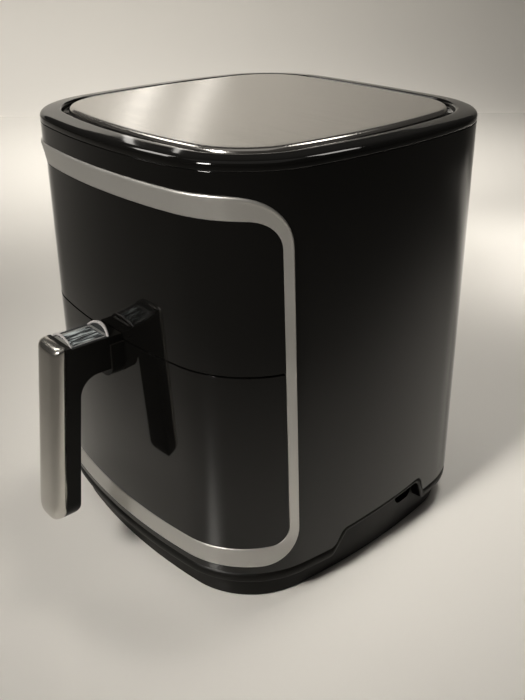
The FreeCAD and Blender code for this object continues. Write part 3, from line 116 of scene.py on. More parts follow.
def vary(tree, fac, low, high, socket):
    """Drives a shader socket between two values."""
    span = tree.nodes.new("ShaderNodeMapRange")
    span.inputs["From Min"].default_value = NOISE_LOW
    span.inputs["From Max"].default_value = NOISE_HIGH
    span.inputs["To Min"].default_value = low
    span.inputs["To Max"].default_value = high
    tree.links.new(fac, span.inputs["Value"])
    tree.links.new(span.outputs["Result"], socket)


def tint(tree, fac, dark, pale, socket, first=NOISE_LOW, last=NOISE_HIGH):
    """Drives a colour socket between two colours, over a range of the noise."""
    ramp = tree.nodes.new("ShaderNodeValToRGB")
    ramp.color_ramp.elements[0].position = first
    ramp.color_ramp.elements[0].color = (*dark, 1)
    ramp.color_ramp.elements[1].position = last
    ramp.color_ramp.elements[1].color = (*pale, 1)
    tree.links.new(fac, ramp.inputs["Fac"])
    tree.links.new(ramp.outputs["Color"], socket)


def relief(tree, fac, depth, shader, strength=1.0):
    """A slight bump, its depth in millimetres."""
    bump = tree.nodes.new("ShaderNodeBump")
    bump.inputs["Strength"].default_value = strength
    bump.inputs["Distance"].default_value = depth * MM
    tree.links.new(fac, bump.inputs["Height"])
    tree.links.new(bump.outputs["Normal"], shader.inputs["Normal"])


print("grain is used between", NOISE_LOW, "and", NOISE_HIGH)

# %% [markdown]
# Black plastics
# The casing, the ring and the front panels are polished ABS: a mirror over black, with the faint
# orange peel of the mould. The base, the handle core and the vent have a fine spark texture that
# spreads the light. Soft feet and bumpers are silicone, darker and duller still.

# %% Black plastics
tree, shader = finish("gloss_black", (0.0024, 0.0023, 0.0021), 0.05)
shader.inputs["Specular IOR Level"].default_value = 0.36
vary(tree, grain(tree, 14, detail=3), 0.035, 0.075, shader.inputs["Roughness"])
relief(tree, grain(tree, 60, detail=1), 0.004, shader, 0.35)

tree, shader = finish("satin_black", (0.0045, 0.0042, 0.0036), 0.4)
shader.inputs["Specular IOR Level"].default_value = 0.15
vary(tree, grain(tree, 40, detail=3), 0.34, 0.46, shader.inputs["Roughness"])
relief(tree, grain(tree, 2600, detail=1), 0.012, shader, 0.4)

tree, shader = finish("soft_rubber", (0.014, 0.014, 0.014), 0.7)
vary(tree, grain(tree, 90), 0.6, 0.8, shader.inputs["Roughness"])
relief(tree, grain(tree, 1500), 0.02, shader, 0.4)
print("finishes:", list(FINISHES))

# %% [markdown]
# Metals that show
# The front frame is satin anodised, so its light is spread evenly. The top plate is brushed from
# side to side: long scratches, squeezed hundreds of times finer across than along, give it the
# streaks that run front to back in a lamp's reflection. The grip's cover is brushed up and down.
# The release button's colour carries painted glints: pale streaks along the arm on a dark ground stand
# in for light caught by its chrome, under a hard gloss.

# %% Metals that show
tree, shader = finish("trim_silver", (0.5, 0.49, 0.465), 0.4, 0.85)
vary(tree, grain(tree, 30, detail=3), 0.37, 0.44, shader.inputs["Roughness"])
relief(tree, grain(tree, 3000, detail=1), 0.004, shader, 0.3)

tree, shader = finish("plate_steel", (0.62, 0.6, 0.57), 0.2, 1.0)
shader.inputs["Anisotropic"].default_value = 0.6
brush = grain(tree, 1.0, (6, 2400, 60), 3)
vary(tree, brush, 0.13, 0.2, shader.inputs["Roughness"])
relief(tree, brush, 0.002, shader, 0.5)
across = tree.nodes.new("ShaderNodeTangent")
across.direction_type = "UV_MAP"
across.uv_map = "brush"
tree.links.new(across.outputs["Tangent"], shader.inputs["Tangent"])

tree, shader = finish("cover_steel", (0.6, 0.58, 0.54), 0.22, 1.0)
brush = grain(tree, 1.0, (3000, 3000, 8), 3)
vary(tree, brush, 0.18, 0.26, shader.inputs["Roughness"])
relief(tree, brush, 0.002, shader, 0.2)

tree, shader = finish("button_chrome", (0.4, 0.43, 0.46), 0.2, 0.35)
# Painted glints: pale streaks in the base colour stand in for lamp light mirrored by the chrome ribs.
painted_glints = grain(tree, 1.0, (650, 70, 70))
dark_between_glints, painted_glint_color = (0.006, 0.008, 0.008), (0.6, 0.66, 0.66)
tint(tree, painted_glints, dark_between_glints, painted_glint_color, shader.inputs["Base Color"], 0.48, 0.68)
vary(tree, grain(tree, 120), 0.14, 0.26, shader.inputs["Roughness"])
print("finishes:", list(FINISHES)[-4:])

# %% [markdown]
# Clear plastic
# The guard over the button is clear acrylic. A refracting shader would throw a black shadow on the
# button, because no lamp is found through it, so this thin cover is see-through by its alpha: light
# passes, a little of its gloss stays, and a slight waviness keeps it from looking like a hole.

# %% Clear plastic
tree, shader = finish("clear_plastic", (0.3, 0.32, 0.34), 0.04)
shader.inputs["Alpha"].default_value = 0.05
relief(tree, grain(tree, 150, detail=1), 0.01, shader, 0.3)
print("finishes:", list(FINISHES)[-1:])

# %% [markdown]
# Finishes of the inside
# The pan and basket have a dark non-stick coat with a faint sparkle. The chamber and fans are
# bright sheet, the heater is an oxidised tube, and the boards are green laminate. They show
# when the drawer is pulled out, so they get the same care.

# %% Finishes of the inside
tree, shader = finish("nonstick", (0.022, 0.021, 0.02), 0.36)
sparkle = grain(tree, 1800, detail=1)
tint(tree, sparkle, (0.016, 0.015, 0.015), (0.035, 0.034, 0.033), shader.inputs["Base Color"])
vary(tree, grain(tree, 60, detail=3), 0.3, 0.44, shader.inputs["Roughness"])

tree, shader = finish("sheet_steel", (0.5, 0.5, 0.49), 0.36, 1.0)
vary(tree, grain(tree, 1.0, (30, 30, 500), 3), 0.28, 0.46, shader.inputs["Roughness"])
clouds = grain(tree, 25, detail=4)
tint(tree, clouds, (0.44, 0.43, 0.42), (0.55, 0.55, 0.54), shader.inputs["Base Color"])

tree, shader = finish("fan_metal", (0.6, 0.6, 0.6), 0.3, 1.0)
vary(tree, grain(tree, 80, detail=3), 0.24, 0.4, shader.inputs["Roughness"])

tree, shader = finish("element_metal", (0.09, 0.085, 0.08), 0.5, 0.6)
scorch = grain(tree, 90, detail=4)
tint(tree, scorch, (0.05, 0.047, 0.045), (0.15, 0.13, 0.11), shader.inputs["Base Color"])
relief(tree, grain(tree, 900), 0.02, shader, 0.4)

tree, shader = finish("screw_steel", (0.5, 0.5, 0.5), 0.25, 1.0)
vary(tree, grain(tree, 300), 0.2, 0.35, shader.inputs["Roughness"])

tree, shader = finish("board_green", (0.02, 0.11, 0.045), 0.42)
weave = grain(tree, 220, detail=4)
tint(tree, weave, (0.015, 0.085, 0.035), (0.03, 0.14, 0.06), shader.inputs["Base Color"])

tree, shader = finish("light_plastic", (0.3, 0.285, 0.28), 0.4)
vary(tree, grain(tree, 60), 0.35, 0.5, shader.inputs["Roughness"])
print("finishes:", len(FINISHES))

# %% [markdown]
# Every CAD node takes its finish
# The record says which slot each node belongs to, so one loop dresses all of them. Pieces that
# are rebuilt further down hide their node and take the same finish.

# %% Dress the nodes
for name, node in NODES.items():
    node.data.materials.clear()
    node.data.materials.append(FINISHES[SLOT_OF[name]])
print("dressed", len(NODES), "nodes")

# %% [markdown]
# The casing's outline
# Seen from above, the casing is a square with bulged sides and round corners, drawn with tangent
# arcs, and it narrows by 4 mm a side towards the table. Every shell is placed by how far along
# that outline it lies from the middle of the front, how far inside the surface, and how high.
# Arcs that share centres make this exact: going further in only takes from their radius.

# %% Outline of the casing
HALF = 140
FRONT_BULGE, SIDE_BULGE, BACK_BULGE, CORNER = 474, 534, 1200, 72.5


def corner_centre(side, end, end_bulge, towards):
    """Centre of the corner arc that touches a side arc and a front or back arc."""
    reach, end_reach = SIDE_BULGE - CORNER, end_bulge - CORNER
    across = end - side
    along = (across.length_squared + reach**2 - end_reach**2) / (2 * across.length)
    lift = math.sqrt(reach**2 - along**2)
    unit = across.normalized()
    normal = Vector((-unit.y, unit.x))
    found = [side + unit * along + normal * lift * sign for sign in (1, -1)]
    return max(found, key=lambda c: c.x + towards * c.y)


def outline_arcs():
    """The right half, front to back: centre, radius, first and last angle, and length so far."""
    fore, aft = Vector((0, FRONT_BULGE - HALF)), Vector((0, HALF - BACK_BULGE))
    side = Vector((HALF - SIDE_BULGE, 0))
    near = corner_centre(side, fore, FRONT_BULGE, -1)
    far = corner_centre(side, aft, BACK_BULGE, 1)
    turns = [(near - fore), (near - side), (far - side), (far - aft)]
    angles = [-math.pi / 2] + [math.atan2(t.y, t.x) for t in turns] + [math.pi / 2]
    arcs, begun = [], 0.0
    for i, centre in enumerate((fore, near, side, far, aft)):
        radius = (FRONT_BULGE, CORNER, SIDE_BULGE, CORNER, BACK_BULGE)[i]
        arcs.append((centre, radius, angles[i], angles[i + 1], begun))
        begun += radius * (angles[i + 1] - angles[i])
    return arcs, begun


ARCS, HALF_ROUND = outline_arcs()
print("half the outline: %.1f mm" % HALF_ROUND)

# %% Places on the outline
SIDE_TAPER, RIM, HALVINGS = 4, 326, 40


def casing_point(along, inside, z):
    """The point a distance along the outline, some way inside the surface, at a height."""
    for centre, radius, first, last, begun in ARCS:
        angle = first + (abs(along) - begun) / radius
        if angle <= last + 1e-6:
            break
    reach = radius - inside - SIDE_TAPER * (1 - z / RIM)
    x, y = centre.x + reach * math.cos(angle), centre.y + reach * math.sin(angle)
    return (math.copysign(1, along) * x, y, z)


def along_at(y, z):
    """How far along the outline a front-to-back place lies, found by halving."""
    low, high = 0.0, HALF_ROUND
    for step in range(HALVINGS):
        middle = (low + high) / 2
        if casing_point(middle, 0, z)[1] < y:
            low = middle
        else:
            high = middle
    return low


print("half the width on the table: %.1f mm" % casing_point(along_at(0, 0), 0, 0)[0])

# %% [markdown]
# Laying a mesh
# All shells are grids of four-sided faces, which smooth well and bevel cleanly. The first helper makes
# an object from rows of drawing points, gives it its finish, ties it to its body and hides the CAD nodes
# that it stands for. The others list a grid's faces and give a sheet its wall: modifiers do that better
# than points by hand, because the wall stays even round every bend.

# %% Mesh helpers
def lay(name, points, faces, body, slot, *nodes):
    """A smooth-shaded piece from drawing points, riding on a body in place of CAD nodes."""
    mesh = bpy.data.meshes.new(name)
    mesh.from_pydata([at(*p) for p in points], [], faces)
    mesh.shade_smooth()
    mesh.materials.append(FINISHES[slot])
    piece = bpy.data.objects.new(name, mesh)
    bpy.context.scene.collection.objects.link(piece)
    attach(piece, body)
    if nodes:
        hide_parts(*nodes)
    return piece


def grid_faces(rows, columns, start=0, ring=False, closed=False):
    """Faces between rows of points; ring joins each row's ends, closed the last row to the first."""
    faces = []
    for r in range(rows if closed else rows - 1):
        for c in range(columns if ring else columns - 1):
            up, right = (r + 1) % rows, (c + 1) % columns
            corners = (r * columns + c, r * columns + right, up * columns + right, up * columns + c)
            faces.append(tuple(start + k for k in corners))
    return faces


def thicken(piece, wall, edge=0.0):
    """Gives a sheet its wall, inwards, and eases its edges."""
    solid = piece.modifiers.new("wall", "SOLIDIFY")
    solid.thickness = wall * MM
    solid.offset = -1
    solid.use_even_offset = True
    if edge:
        ease = piece.modifiers.new("edge", "BEVEL")
        ease.width = edge * MM
        ease.segments = 3
        ease.limit_method = "ANGLE"
        ease.angle_limit = math.radians(50)
        ease.harden_normals = True


print("helpers for meshes: a 3 by 3 grid has", len(grid_faces(3, 3)), "faces")

# %% [markdown]
# Shapes on the front
# The frame and its opening are drawn in side view as four-sided shapes with round corners, and
# they wrap round the casing's front corners. Their upper and lower edges close in a little on
# the way back. A loop lists such a shape as places along the outline and heights, always with
# the same number of points, so two loops can be bridged.

# %% Front shapes
RUN, BEND = 24, 12
FRAME_OUTSIDE = dict(low=33.6, rise=0.8, high=305.5, fall=1.5, low_back=-75.2, high_back=-84.2,
                     low_corner=27, high_corner=35)
OPENING = dict(low=45.6, rise=3.7, high=289.5, fall=1.4, low_back=-81.8, high_back=-89.9,
               low_corner=14, high_corner=20)


def bend_points(before, corner, after, radius):
    """Points along the arc that rounds a corner between two straight runs."""
    tip = Vector(corner)
    back, ahead = (Vector(before) - tip).normalized(), (Vector(after) - tip).normalized()
    half = back.angle(ahead) / 2
    centre = tip + (back + ahead).normalized() * radius / math.sin(half)
    first = tip + back * radius / math.tan(half) - centre
    last = tip + ahead * radius / math.tan(half) - centre
    start = math.atan2(first.y, first.x)
    turn = (math.atan2(last.y, last.x) - start + math.pi) % (2 * math.pi) - math.pi
    angles = [start + turn * k / BEND for k in range(BEND + 1)]
    return [(centre.x + radius * math.cos(a), centre.y + radius * math.sin(a)) for a in angles]


def slopes(shape):
    """How much the lower and the upper edge climb for each millimetre towards the back."""
    return shape["rise"] / (shape["low_back"] + HALF), -shape["fall"] / (shape["high_back"] + HALF)


def front_edge(shape):
    """The right edge of a front shape, from its foot's bend to its head's bend."""
    foot_tip = (shape["low_back"], shape["low"] + shape["rise"])
    head_tip = (shape["high_back"], shape["high"] - shape["fall"])
    foot = bend_points((-HALF, shape["low"]), foot_tip, head_tip, shape["low_corner"])
    head = bend_points(foot_tip, head_tip, (-HALF, shape["high"]), shape["high_corner"])
    (y0, z0), (y1, z1) = foot[-1], head[0]
    side = [(y0 + (y1 - y0) * k / RUN, z0 + (z1 - z0) * k / RUN) for k in range(1, RUN)]
    return [(along_at(y, z), z) for y, z in foot + side + head]


print("frame's right edge:", len(front_edge(FRAME_OUTSIDE)), "points")

# %% Front loops
def slanted(s, end, slope):
    """Height at a place on a straight slope that passes through an end point."""
    run = casing_point(s, 0, end[1])[1] - casing_point(end[0], 0, end[1])[1]
    return end[1] + slope * run


def front_loop(shape):
    """A front shape as a closed loop of places along the outline and heights."""
    edge = front_edge(shape)
    low_slope, high_slope = slopes(shape)
    bottom = [edge[0][0] * k / RUN for k in range(RUN)]
    top = [edge[-1][0] * (1 - k / RUN) for k in range(1, RUN + 1)]
    half = [(s, slanted(s, edge[0], low_slope)) for s in bottom]
    half += edge + [(s, slanted(s, edge[-1], high_slope)) for s in top]
    return half + [(-s, z) for s, z in reversed(half[1:-1])]


frame_loop, opening_loop = front_loop(FRAME_OUTSIDE), front_loop(OPENING)
print("front loops:", len(frame_loop), len(opening_loop), "points")

# %% [markdown]
# The front frame
# On the real fryer this is a moulded frame with a satin metal coat: a narrow raised lip runs
# round its outside, and a wide bevel falls from it to the panels. A cross-section is swept
# between the outer and inner loops. Each of its points says how far it is from the outer loop to
# the inner one, and how deep it lies.

# %% Front frame
FRAME_SECTION = [
    (0.0, 4.5), (0.0, -0.55), (0.015, -0.9), (0.05, -1.12), (0.1, -1.2), (0.15, -1.12), (0.19, -0.85),
    (0.26, -0.62), (0.5, 0.05), (0.8, 0.95), (0.93, 1.3), (0.975, 1.45), (1.0, 1.75), (1.0, 4.5),
]
points = []
for share, inside in FRAME_SECTION:
    for (s0, z0), (s1, z1) in zip(frame_loop, opening_loop):
        points.append(casing_point(s0 + (s1 - s0) * share, inside, z0 + (z1 - z0) * share))
faces = grid_faces(len(FRAME_SECTION), len(frame_loop), ring=True, closed=True)
lay("front_frame", points, faces, "housing", "trim_silver", "trim_frame")
print("front frame:", len(faces), "faces")

# %% [markdown]
# The casing
# One gloss black shell, open in front for the frame, with a hand recess low on each side and a
# hole behind for the vent. Its front part is a ring of faces between the frame's loop and a
# rectangle that reaches round both corners. The rest is a grid round the back, whose lowest row
# follows the hand recess. Both parts share the heights of the rectangle's upright edge, so they
# can be welded into one mesh, and the gloss runs over the join without a break.

# %% Casing: rectangle round the frame
CASING_LOW, CASING_HIGH = 27.5, 319.5
BORDER_BACK, BORDER_MIDDLE = -58, 170
WRAP = along_at(BORDER_BACK, BORDER_MIDDLE)


def between(first, last, count):
    """Evenly spaced points from one point up to, but not with, another."""
    (a, b), (c, d) = first, last
    return [(a + (c - a) * k / count, b + (d - b) * k / count) for k in range(count)]


def casing_border():
    """The rectangle round the front part, point for point with the frame's loop."""
    foot, head = frame_loop[RUN], frame_loop[RUN + BEND + RUN + BEND]
    side_low, side_high = frame_loop[RUN + BEND], frame_loop[RUN + BEND + RUN]
    stations = [
        ((0, CASING_LOW), RUN), ((foot[0], CASING_LOW), BEND // 2), ((WRAP, CASING_LOW), BEND // 2),
        ((WRAP, side_low[1]), RUN), ((WRAP, side_high[1]), BEND // 2), ((WRAP, CASING_HIGH), BEND // 2),
        ((head[0], CASING_HIGH), RUN), ((0, CASING_HIGH), 1),
    ]
    half = []
    for (first, count), following in zip(stations, stations[1:]):
        half += between(first, following[0], count)
    half.append(stations[-1][0])
    return half + [(-s, z) for s, z in reversed(half[1:-1])]


border = casing_border()
heights = [z for s, z in border[: len(border) // 2] if s == WRAP]
print("casing border:", len(border), "points,", len(heights), "heights")

# %% Casing: hand recess
def recess_line(tips, rounds):
    """A hand recess's edge in side view, its corners rounded: front to back places and heights."""
    line = [tips[0]]
    for before, tip, after, radius in zip(tips, tips[1:], tips[2:], rounds):
        line += bend_points(before, tip, after, radius)
    return line + [tips[-1]]


def height_on(line, y):
    """Height of such a line at a front-to-back place."""
    for (y0, z0), (y1, z1) in zip(line, line[1:]):
        if y0 <= y < y1:
            return z0 + (z1 - z0) * (y - y0) / (y1 - y0)
    return line[0][1]


CASING_EDGE = recess_line(
    [(-70, 27.5), (-42.4, 27.5), (-34.4, 39.8), (54.4, 43.4), (59.1, 27.5), (80, 27.5)], (7, 7, 8, 4))
print("recess: %.1f mm high at its middle" % (height_on(CASING_EDGE, 0) - CASING_LOW))

# %% Casing: sides and back
VENT_HALF, VENT_LOW, VENT_HIGH, VENT_AHEAD = 55, 199, 259, 100
COLUMN_GAP = 5


def side_columns():
    """Places along the right side to the middle of the back, closest at the recess's ends."""
    places = [along_at(y, CASING_LOW) for y, z in CASING_EDGE[1:-1]]
    places = sorted(places + [WRAP, HALF_ROUND - VENT_HALF, HALF_ROUND])
    filled = []
    for a, b in zip(places, places[1:]):
        count = max(1, round((b - a) / COLUMN_GAP))
        filled += [a + (b - a) * k / count for k in range(count)]
    return filled + [HALF_ROUND]


columns = side_columns()
columns += [-s for s in reversed(columns[:-1])]
turning = heights[BEND // 2]
back_points = []
for z in heights:
    for s in columns:
        low = height_on(CASING_EDGE, casing_point(s, 0, CASING_LOW)[1])
        lifted = low + (turning - low) * (z - CASING_LOW) / (turning - CASING_LOW)
        back_points.append(casing_point(s, 0, lifted if z < turning else z))


def behind_vent(face):
    """True for faces that would close the hole behind the vent."""
    middle = sum((Vector(back_points[k]) for k in face), Vector()) / 4
    return abs(middle.x) < VENT_HALF and middle.y > VENT_AHEAD and VENT_LOW < middle.z < VENT_HIGH


back_faces = [f for f in grid_faces(len(heights), len(columns)) if not behind_vent(f)]
print("casing sides and back:", len(back_faces), "faces")

# %% Casing: front ring, weld and wall
RINGS, CASING_WALL, CASING_EASE, WELD_GAP = 6, 3, 0.5, 0.01
points, faces = list(back_points), list(back_faces)
start = len(points)
for k in range(RINGS):
    share = k / (RINGS - 1)
    for (s0, z0), (s1, z1) in zip(border, frame_loop):
        points.append(casing_point(s0 + (s1 - s0) * share, 0, z0 + (z1 - z0) * share))
faces += grid_faces(RINGS, len(border), start, ring=True)
casing = lay("casing", points, faces, "housing", "gloss_black", "outer_housing")
weld = casing.modifiers.new("weld", "WELD")
weld.merge_threshold = WELD_GAP * MM
thicken(casing, CASING_WALL, CASING_EASE)
print("casing:", len(faces), "faces")

# %% [markdown]
# Front panel and drawer front
# Two gloss black panels fill the frame: the upper one is fixed, the lower one is the drawer's
# face. They are one curved sheet with a parting line, so both come from the same rows, which run
# from edge to edge at each height. Their edges are eased, as on any moulding, and catch the light.
# The drawer's face has a slot for the latch, hidden by the handle.

# %% Panel helpers
SEAM, SEAM_GAP = 183.4, 1.4
LATCH_HALF, LATCH_LOW, LATCH_HIGH = 3.4, 171.5, 181.4
PANEL_DEEP, PANEL_WALL, PANEL_EASE = 1.5, 3, 0.7
MIDDLE_COLUMNS = [0, LATCH_HALF, 8, 14]


def edge_at(edge, z):
    """How far along the outline a front shape's edge lies at a height."""
    for (s0, z0), (s1, z1) in zip(edge, edge[1:]):
        if z0 <= z <= z1:
            return s0 + (s1 - s0) * (z - z0) / max(z1 - z0, 1e-9)
    return edge[0][0] if z < edge[0][1] else edge[-1][0]


def in_latch_slot(corners):
    """True for faces that would close the latch's slot."""
    middle = sum((Vector(c) for c in corners), Vector()) / 4
    return abs(middle.x) < LATCH_HALF and LATCH_LOW < middle.z < LATCH_HIGH


def panel(name, shape, low, high, slope, body, node, slotted=False):
    """A panel between two heights, inside a front shape; its outer rows follow the sloping edge."""
    edge = front_edge(shape)
    levels = [z for s, z in edge if low < z < high] + [low, high]
    levels += [LATCH_LOW, LATCH_HIGH] if slotted else []
    levels = sorted(set(round(z, 3) for z in levels))
    seam = min(low, high, key=lambda z: abs(z - SEAM))
    far = low + high - seam
    points, count = [], 2 * (len(MIDDLE_COLUMNS) - 1 + RUN) + 1
    for z in levels:
        reach, begun = edge_at(edge, z), MIDDLE_COLUMNS[-1]
        right = MIDDLE_COLUMNS + [begun + (reach - begun) * k / RUN for k in range(1, RUN + 1)]
        row = [-s for s in reversed(right[1:])] + right
        tilt = slope * (z - seam) / (far - seam)
        points += [casing_point(s, PANEL_DEEP, slanted(s, (reach, z), tilt)) for s in row]
    faces = grid_faces(len(levels), count)
    if slotted:
        faces = [f for f in faces if not in_latch_slot([points[k] for k in f])]
    piece = lay(name, points, faces, body, "gloss_black", node)
    thicken(piece, PANEL_WALL, PANEL_EASE)
    print(name, len(faces), "faces")


print("seam: %.1f mm up, %.1f mm wide" % (SEAM, SEAM_GAP))

# %% Panels
DRAWER_SHAPE = dict(low=46.1, rise=3.7, high=289.0, fall=1.4, low_back=-82.3, high_back=-90.4,
                    low_corner=13.5, high_corner=19.5)
upper_end, drawer_end = front_edge(OPENING)[-1][1], front_edge(DRAWER_SHAPE)[0][1]
panel("upper_panel", OPENING, SEAM + SEAM_GAP / 2, upper_end, slopes(OPENING)[1],
      "housing", "front_panel")
panel("drawer_face", DRAWER_SHAPE, drawer_end, SEAM - SEAM_GAP / 2, slopes(DRAWER_SHAPE)[0],
      "drawer", "drawer_front", slotted=True)

# %% [markdown]
# The lip under the casing
# Below the casing's edge runs a narrow lip, set in by a hair so that a seam shows. At each hand
# recess it rises with the edge and frames the opening. A small closed section is carried all
# round the outline, and at each place it is stretched between the casing's edge and the lip's
# own lower line.

# %% Lip
LIP_EDGE = recess_line(
    [(-70, 19.8), (-44, 19.8), (-31, 36.4), (51, 40.0), (58, 19.8), (80, 19.8)], (5, 6, 7, 4))
LIP_STEP, LIP_DEEP, LIP_EASE, LIP_GAP = 0.3, 8.4, 0.9, 4


def lip_places():
    """Places all round, closest at the recess's ends."""
    places = [along_at(y, CASING_LOW) for y, z in CASING_EDGE[1:-1] + LIP_EDGE[1:-1]]
    places = sorted(places + [0.0, HALF_ROUND])
    half = []
    for a, b in zip(places, places[1:]):
        count = max(1, round((b - a) / LIP_GAP))
        half += [a + (b - a) * k / count for k in range(count)]
    return half + [HALF_ROUND] + [-s for s in reversed(half[1:])]


def lip_section(s):
    """The lip's section at one place, from its top in front, down and back to its top behind."""
    y = casing_point(s, 0, CASING_LOW)[1]
    high, low = height_on(CASING_EDGE, y), height_on(LIP_EDGE, y)
    eased_low = [(LIP_STEP + LIP_EASE * (1 - math.cos(a)), low + LIP_EASE * (1 - math.sin(a)))
                 for a in (0, math.pi / 6, math.pi / 3, math.pi / 2)]
    section = [(LIP_STEP, high)] + eased_low + [(LIP_DEEP, low), (LIP_DEEP, high)]
    return [casing_point(s, inside, z) for inside, z in section]


sections = [lip_section(s) for s in lip_places()]
points = [p for section in sections for p in section]
faces = [tuple(reversed(f)) for f in grid_faces(len(sections), len(sections[0]), ring=True, closed=True)]
lay("lip", points, faces, "housing", "satin_black", "casing_lip", "recess_edging")
print("lip:", len(faces), "faces")

# %% [markdown]
# Top ring and plate
# A gloss black ring caps the casing, with a rounded outer edge and a groove inside it. In the
# groove sits the brushed steel plate, whose edge is rolled over and whose middle is very slightly
# domed, which is what bends the lamp's reflection. Both are profiles carried round the outline.

# %% Ring
RING_PROFILE = [
    (27.5, 319.5), (0.7, 319.5), (0.2, 319.8), (0.0, 320.4), (0.0, 322.9), (0.15, 323.7), (0.6, 324.5),
    (1.4, 325.3), (2.6, 325.8), (4.5, 326.1), (8.0, 326.45), (11.5, 326.75), (13.8, 326.95),
    (15.2, 326.9), (16.0, 326.4), (16.4, 325.5), (16.5, 324.2), (16.5, 322.0), (27.5, 322.0),
]
CORNER_STEPS, SIDE_STEPS = 28, 14


def round_places():
    """Places all round the outline, closer together at the corners."""
    places = []
    for centre, radius, first, last, begun in ARCS:
        count = CORNER_STEPS if radius == CORNER else SIDE_STEPS
        places += [begun + radius * (last - first) * k / count for k in range(count)]
    return places + [HALF_ROUND] + [-s for s in reversed(places[1:])]


ROUND = round_places()
points = [casing_point(s, inside, z) for inside, z in RING_PROFILE for s in ROUND]
faces = grid_faces(len(RING_PROFILE), len(ROUND), ring=True, closed=True)
lay("ring", points, faces, "housing", "gloss_black", "top_ring")
print("ring:", len(ROUND), "points round")

# %% Plate
PLATE_PROFILE = [
    (25.6, 322.0), (22.5, 322.0), (21.7, 322.4), (21.5, 323.2), (21.5, 324.8), (21.75, 326.0),
    (22.35, 327.0), (23.3, 327.65), (24.6, 327.95), (26.5, 328.03),
]
PLATE_TOP, PLATE_DOME, BRUSH_SPAN = 328.3, 0.27, 3
PLATE_SHARES = (0.96, 0.9, 0.8, 0.66, 0.5, 0.34, 0.18, 0.06)
points = [casing_point(s, inside, z) for inside, z in PLATE_PROFILE for s in ROUND]
last_loop = points[-len(ROUND):]
for share in PLATE_SHARES:
    points += [(x * share, y * share, PLATE_TOP - PLATE_DOME * share**2) for x, y, z in last_loop]
faces = grid_faces(len(PLATE_PROFILE) + len(PLATE_SHARES), len(ROUND), ring=True)
faces.append(tuple(range(len(points) - len(ROUND), len(points))))
plate = lay("plate", points, faces, "housing", "plate_steel", "top_plate")
brush_map = plate.data.uv_layers.new(name="brush")
for loop in plate.data.loops:
    brush_map.data[loop.index].uv = plate.data.vertices[loop.vertex_index].co.xy * BRUSH_SPAN
print("plate:", len(faces), "faces")

# %% [markdown]
# Cheeks beside the chamber
# With the drawer out, one looks past the cooking chamber through the ends of the opening, which
# wrap round to the sides. A thin black sheet each side closes the casing there, just behind the
# drawer's edge. The sheets are flat, so eight corners each are enough, and the outline says how
# wide they are.

# %% Cheeks
CHAMBER_HALF, CHEEK_FRONT, CHEEK_BACK = 104, -81.6, -80.4
CHEEK_LOW, CHEEK_HIGH, CHEEK_INSIDE = 44, 240, 5.2


def inner_half(y, z):
    """Half the width inside the front frame, at one place from front to back."""
    wall = [casing_point(s, CHEEK_INSIDE, z) for s in ROUND]
    right = sorted((py, px) for px, py, pz in wall if px > CHAMBER_HALF)
    for (y0, x0), (y1, x1) in zip(right, right[1:]):
        if y0 <= y <= y1:
            return x0 + (x1 - x0) * (y - y0) / (y1 - y0)


for name, side in (("cheek_right", 1), ("cheek_left", -1)):
    edge = [(CHAMBER_HALF, CHEEK_LOW), (inner_half(CHEEK_FRONT, CHEEK_LOW), CHEEK_LOW)]
    edge += [(inner_half(CHEEK_FRONT, CHEEK_HIGH), CHEEK_HIGH), (CHAMBER_HALF, CHEEK_HIGH)]
    points = [(side * x, y, z) for y in (CHEEK_FRONT, CHEEK_BACK) for x, z in edge]
    faces = [(0, 1, 2, 3), (7, 6, 5, 4), (1, 0, 4, 5), (2, 1, 5, 6), (3, 2, 6, 7), (0, 3, 7, 4)]
    cheek = lay(name, points, [f[::side] for f in faces], "housing", "satin_black")
    cheek.data.shade_flat()
print("cheeks: %.1f mm wide" % (edge[1][0] - CHAMBER_HALF))

# %% [markdown]
# The grip's cover
# A pressed steel shell covers the outer face of the handle. Across, it is a soft pillow shape, so
# that light is drawn out in it as upright bands. Its foot is round in both views, and its top
# is closed by a small cap. It is a loft of level sections: each height has its own width and its
# own depth, and close sections at both ends make the rounding.

# %% Grip cover
GRIP_LOW, GRIP_HIGH, GRIP_OUT, GRIP_LEAN = 55.5, 190.5, 201.1, 12.6
GRIP_HALF, COVER_DEPTH = 14.5, 8.5
FOOT_CORNER, FOOT_ROUND, HEAD_CORNER, HEAD_ROUND = 13, 7.5, 2.5, 5
PILLOW, PILLOW_STEPS, SHAFT_STEPS = 2 / 3.4, 14, 20


def eased(distance, radius):
    """How far a rounded end falls back, at a distance from its tip."""
    if distance >= radius:
        return 0.0
    return radius - math.sqrt(max(radius**2 - (radius - distance) ** 2, 0))


def cover_section(z):
    """One level section of the cover, from its right rear corner round the front."""
    rear = GRIP_LEAN * (z - GRIP_LOW) / (GRIP_HIGH - GRIP_LOW) - GRIP_OUT + COVER_DEPTH
    up, down = z - GRIP_LOW, GRIP_HIGH - z
    half = GRIP_HALF - eased(up, FOOT_CORNER) - eased(down, HEAD_CORNER)
    depth = COVER_DEPTH - eased(up, FOOT_ROUND) - eased(down, HEAD_ROUND)
    right = []
    for k in range(PILLOW_STEPS + 1):
        angle = k / PILLOW_STEPS * math.pi / 2
        right.append((half * math.cos(angle) ** PILLOW, rear - depth * math.sin(angle) ** PILLOW))
    return right + [(-x, y) for x, y in reversed(right[:-1])]


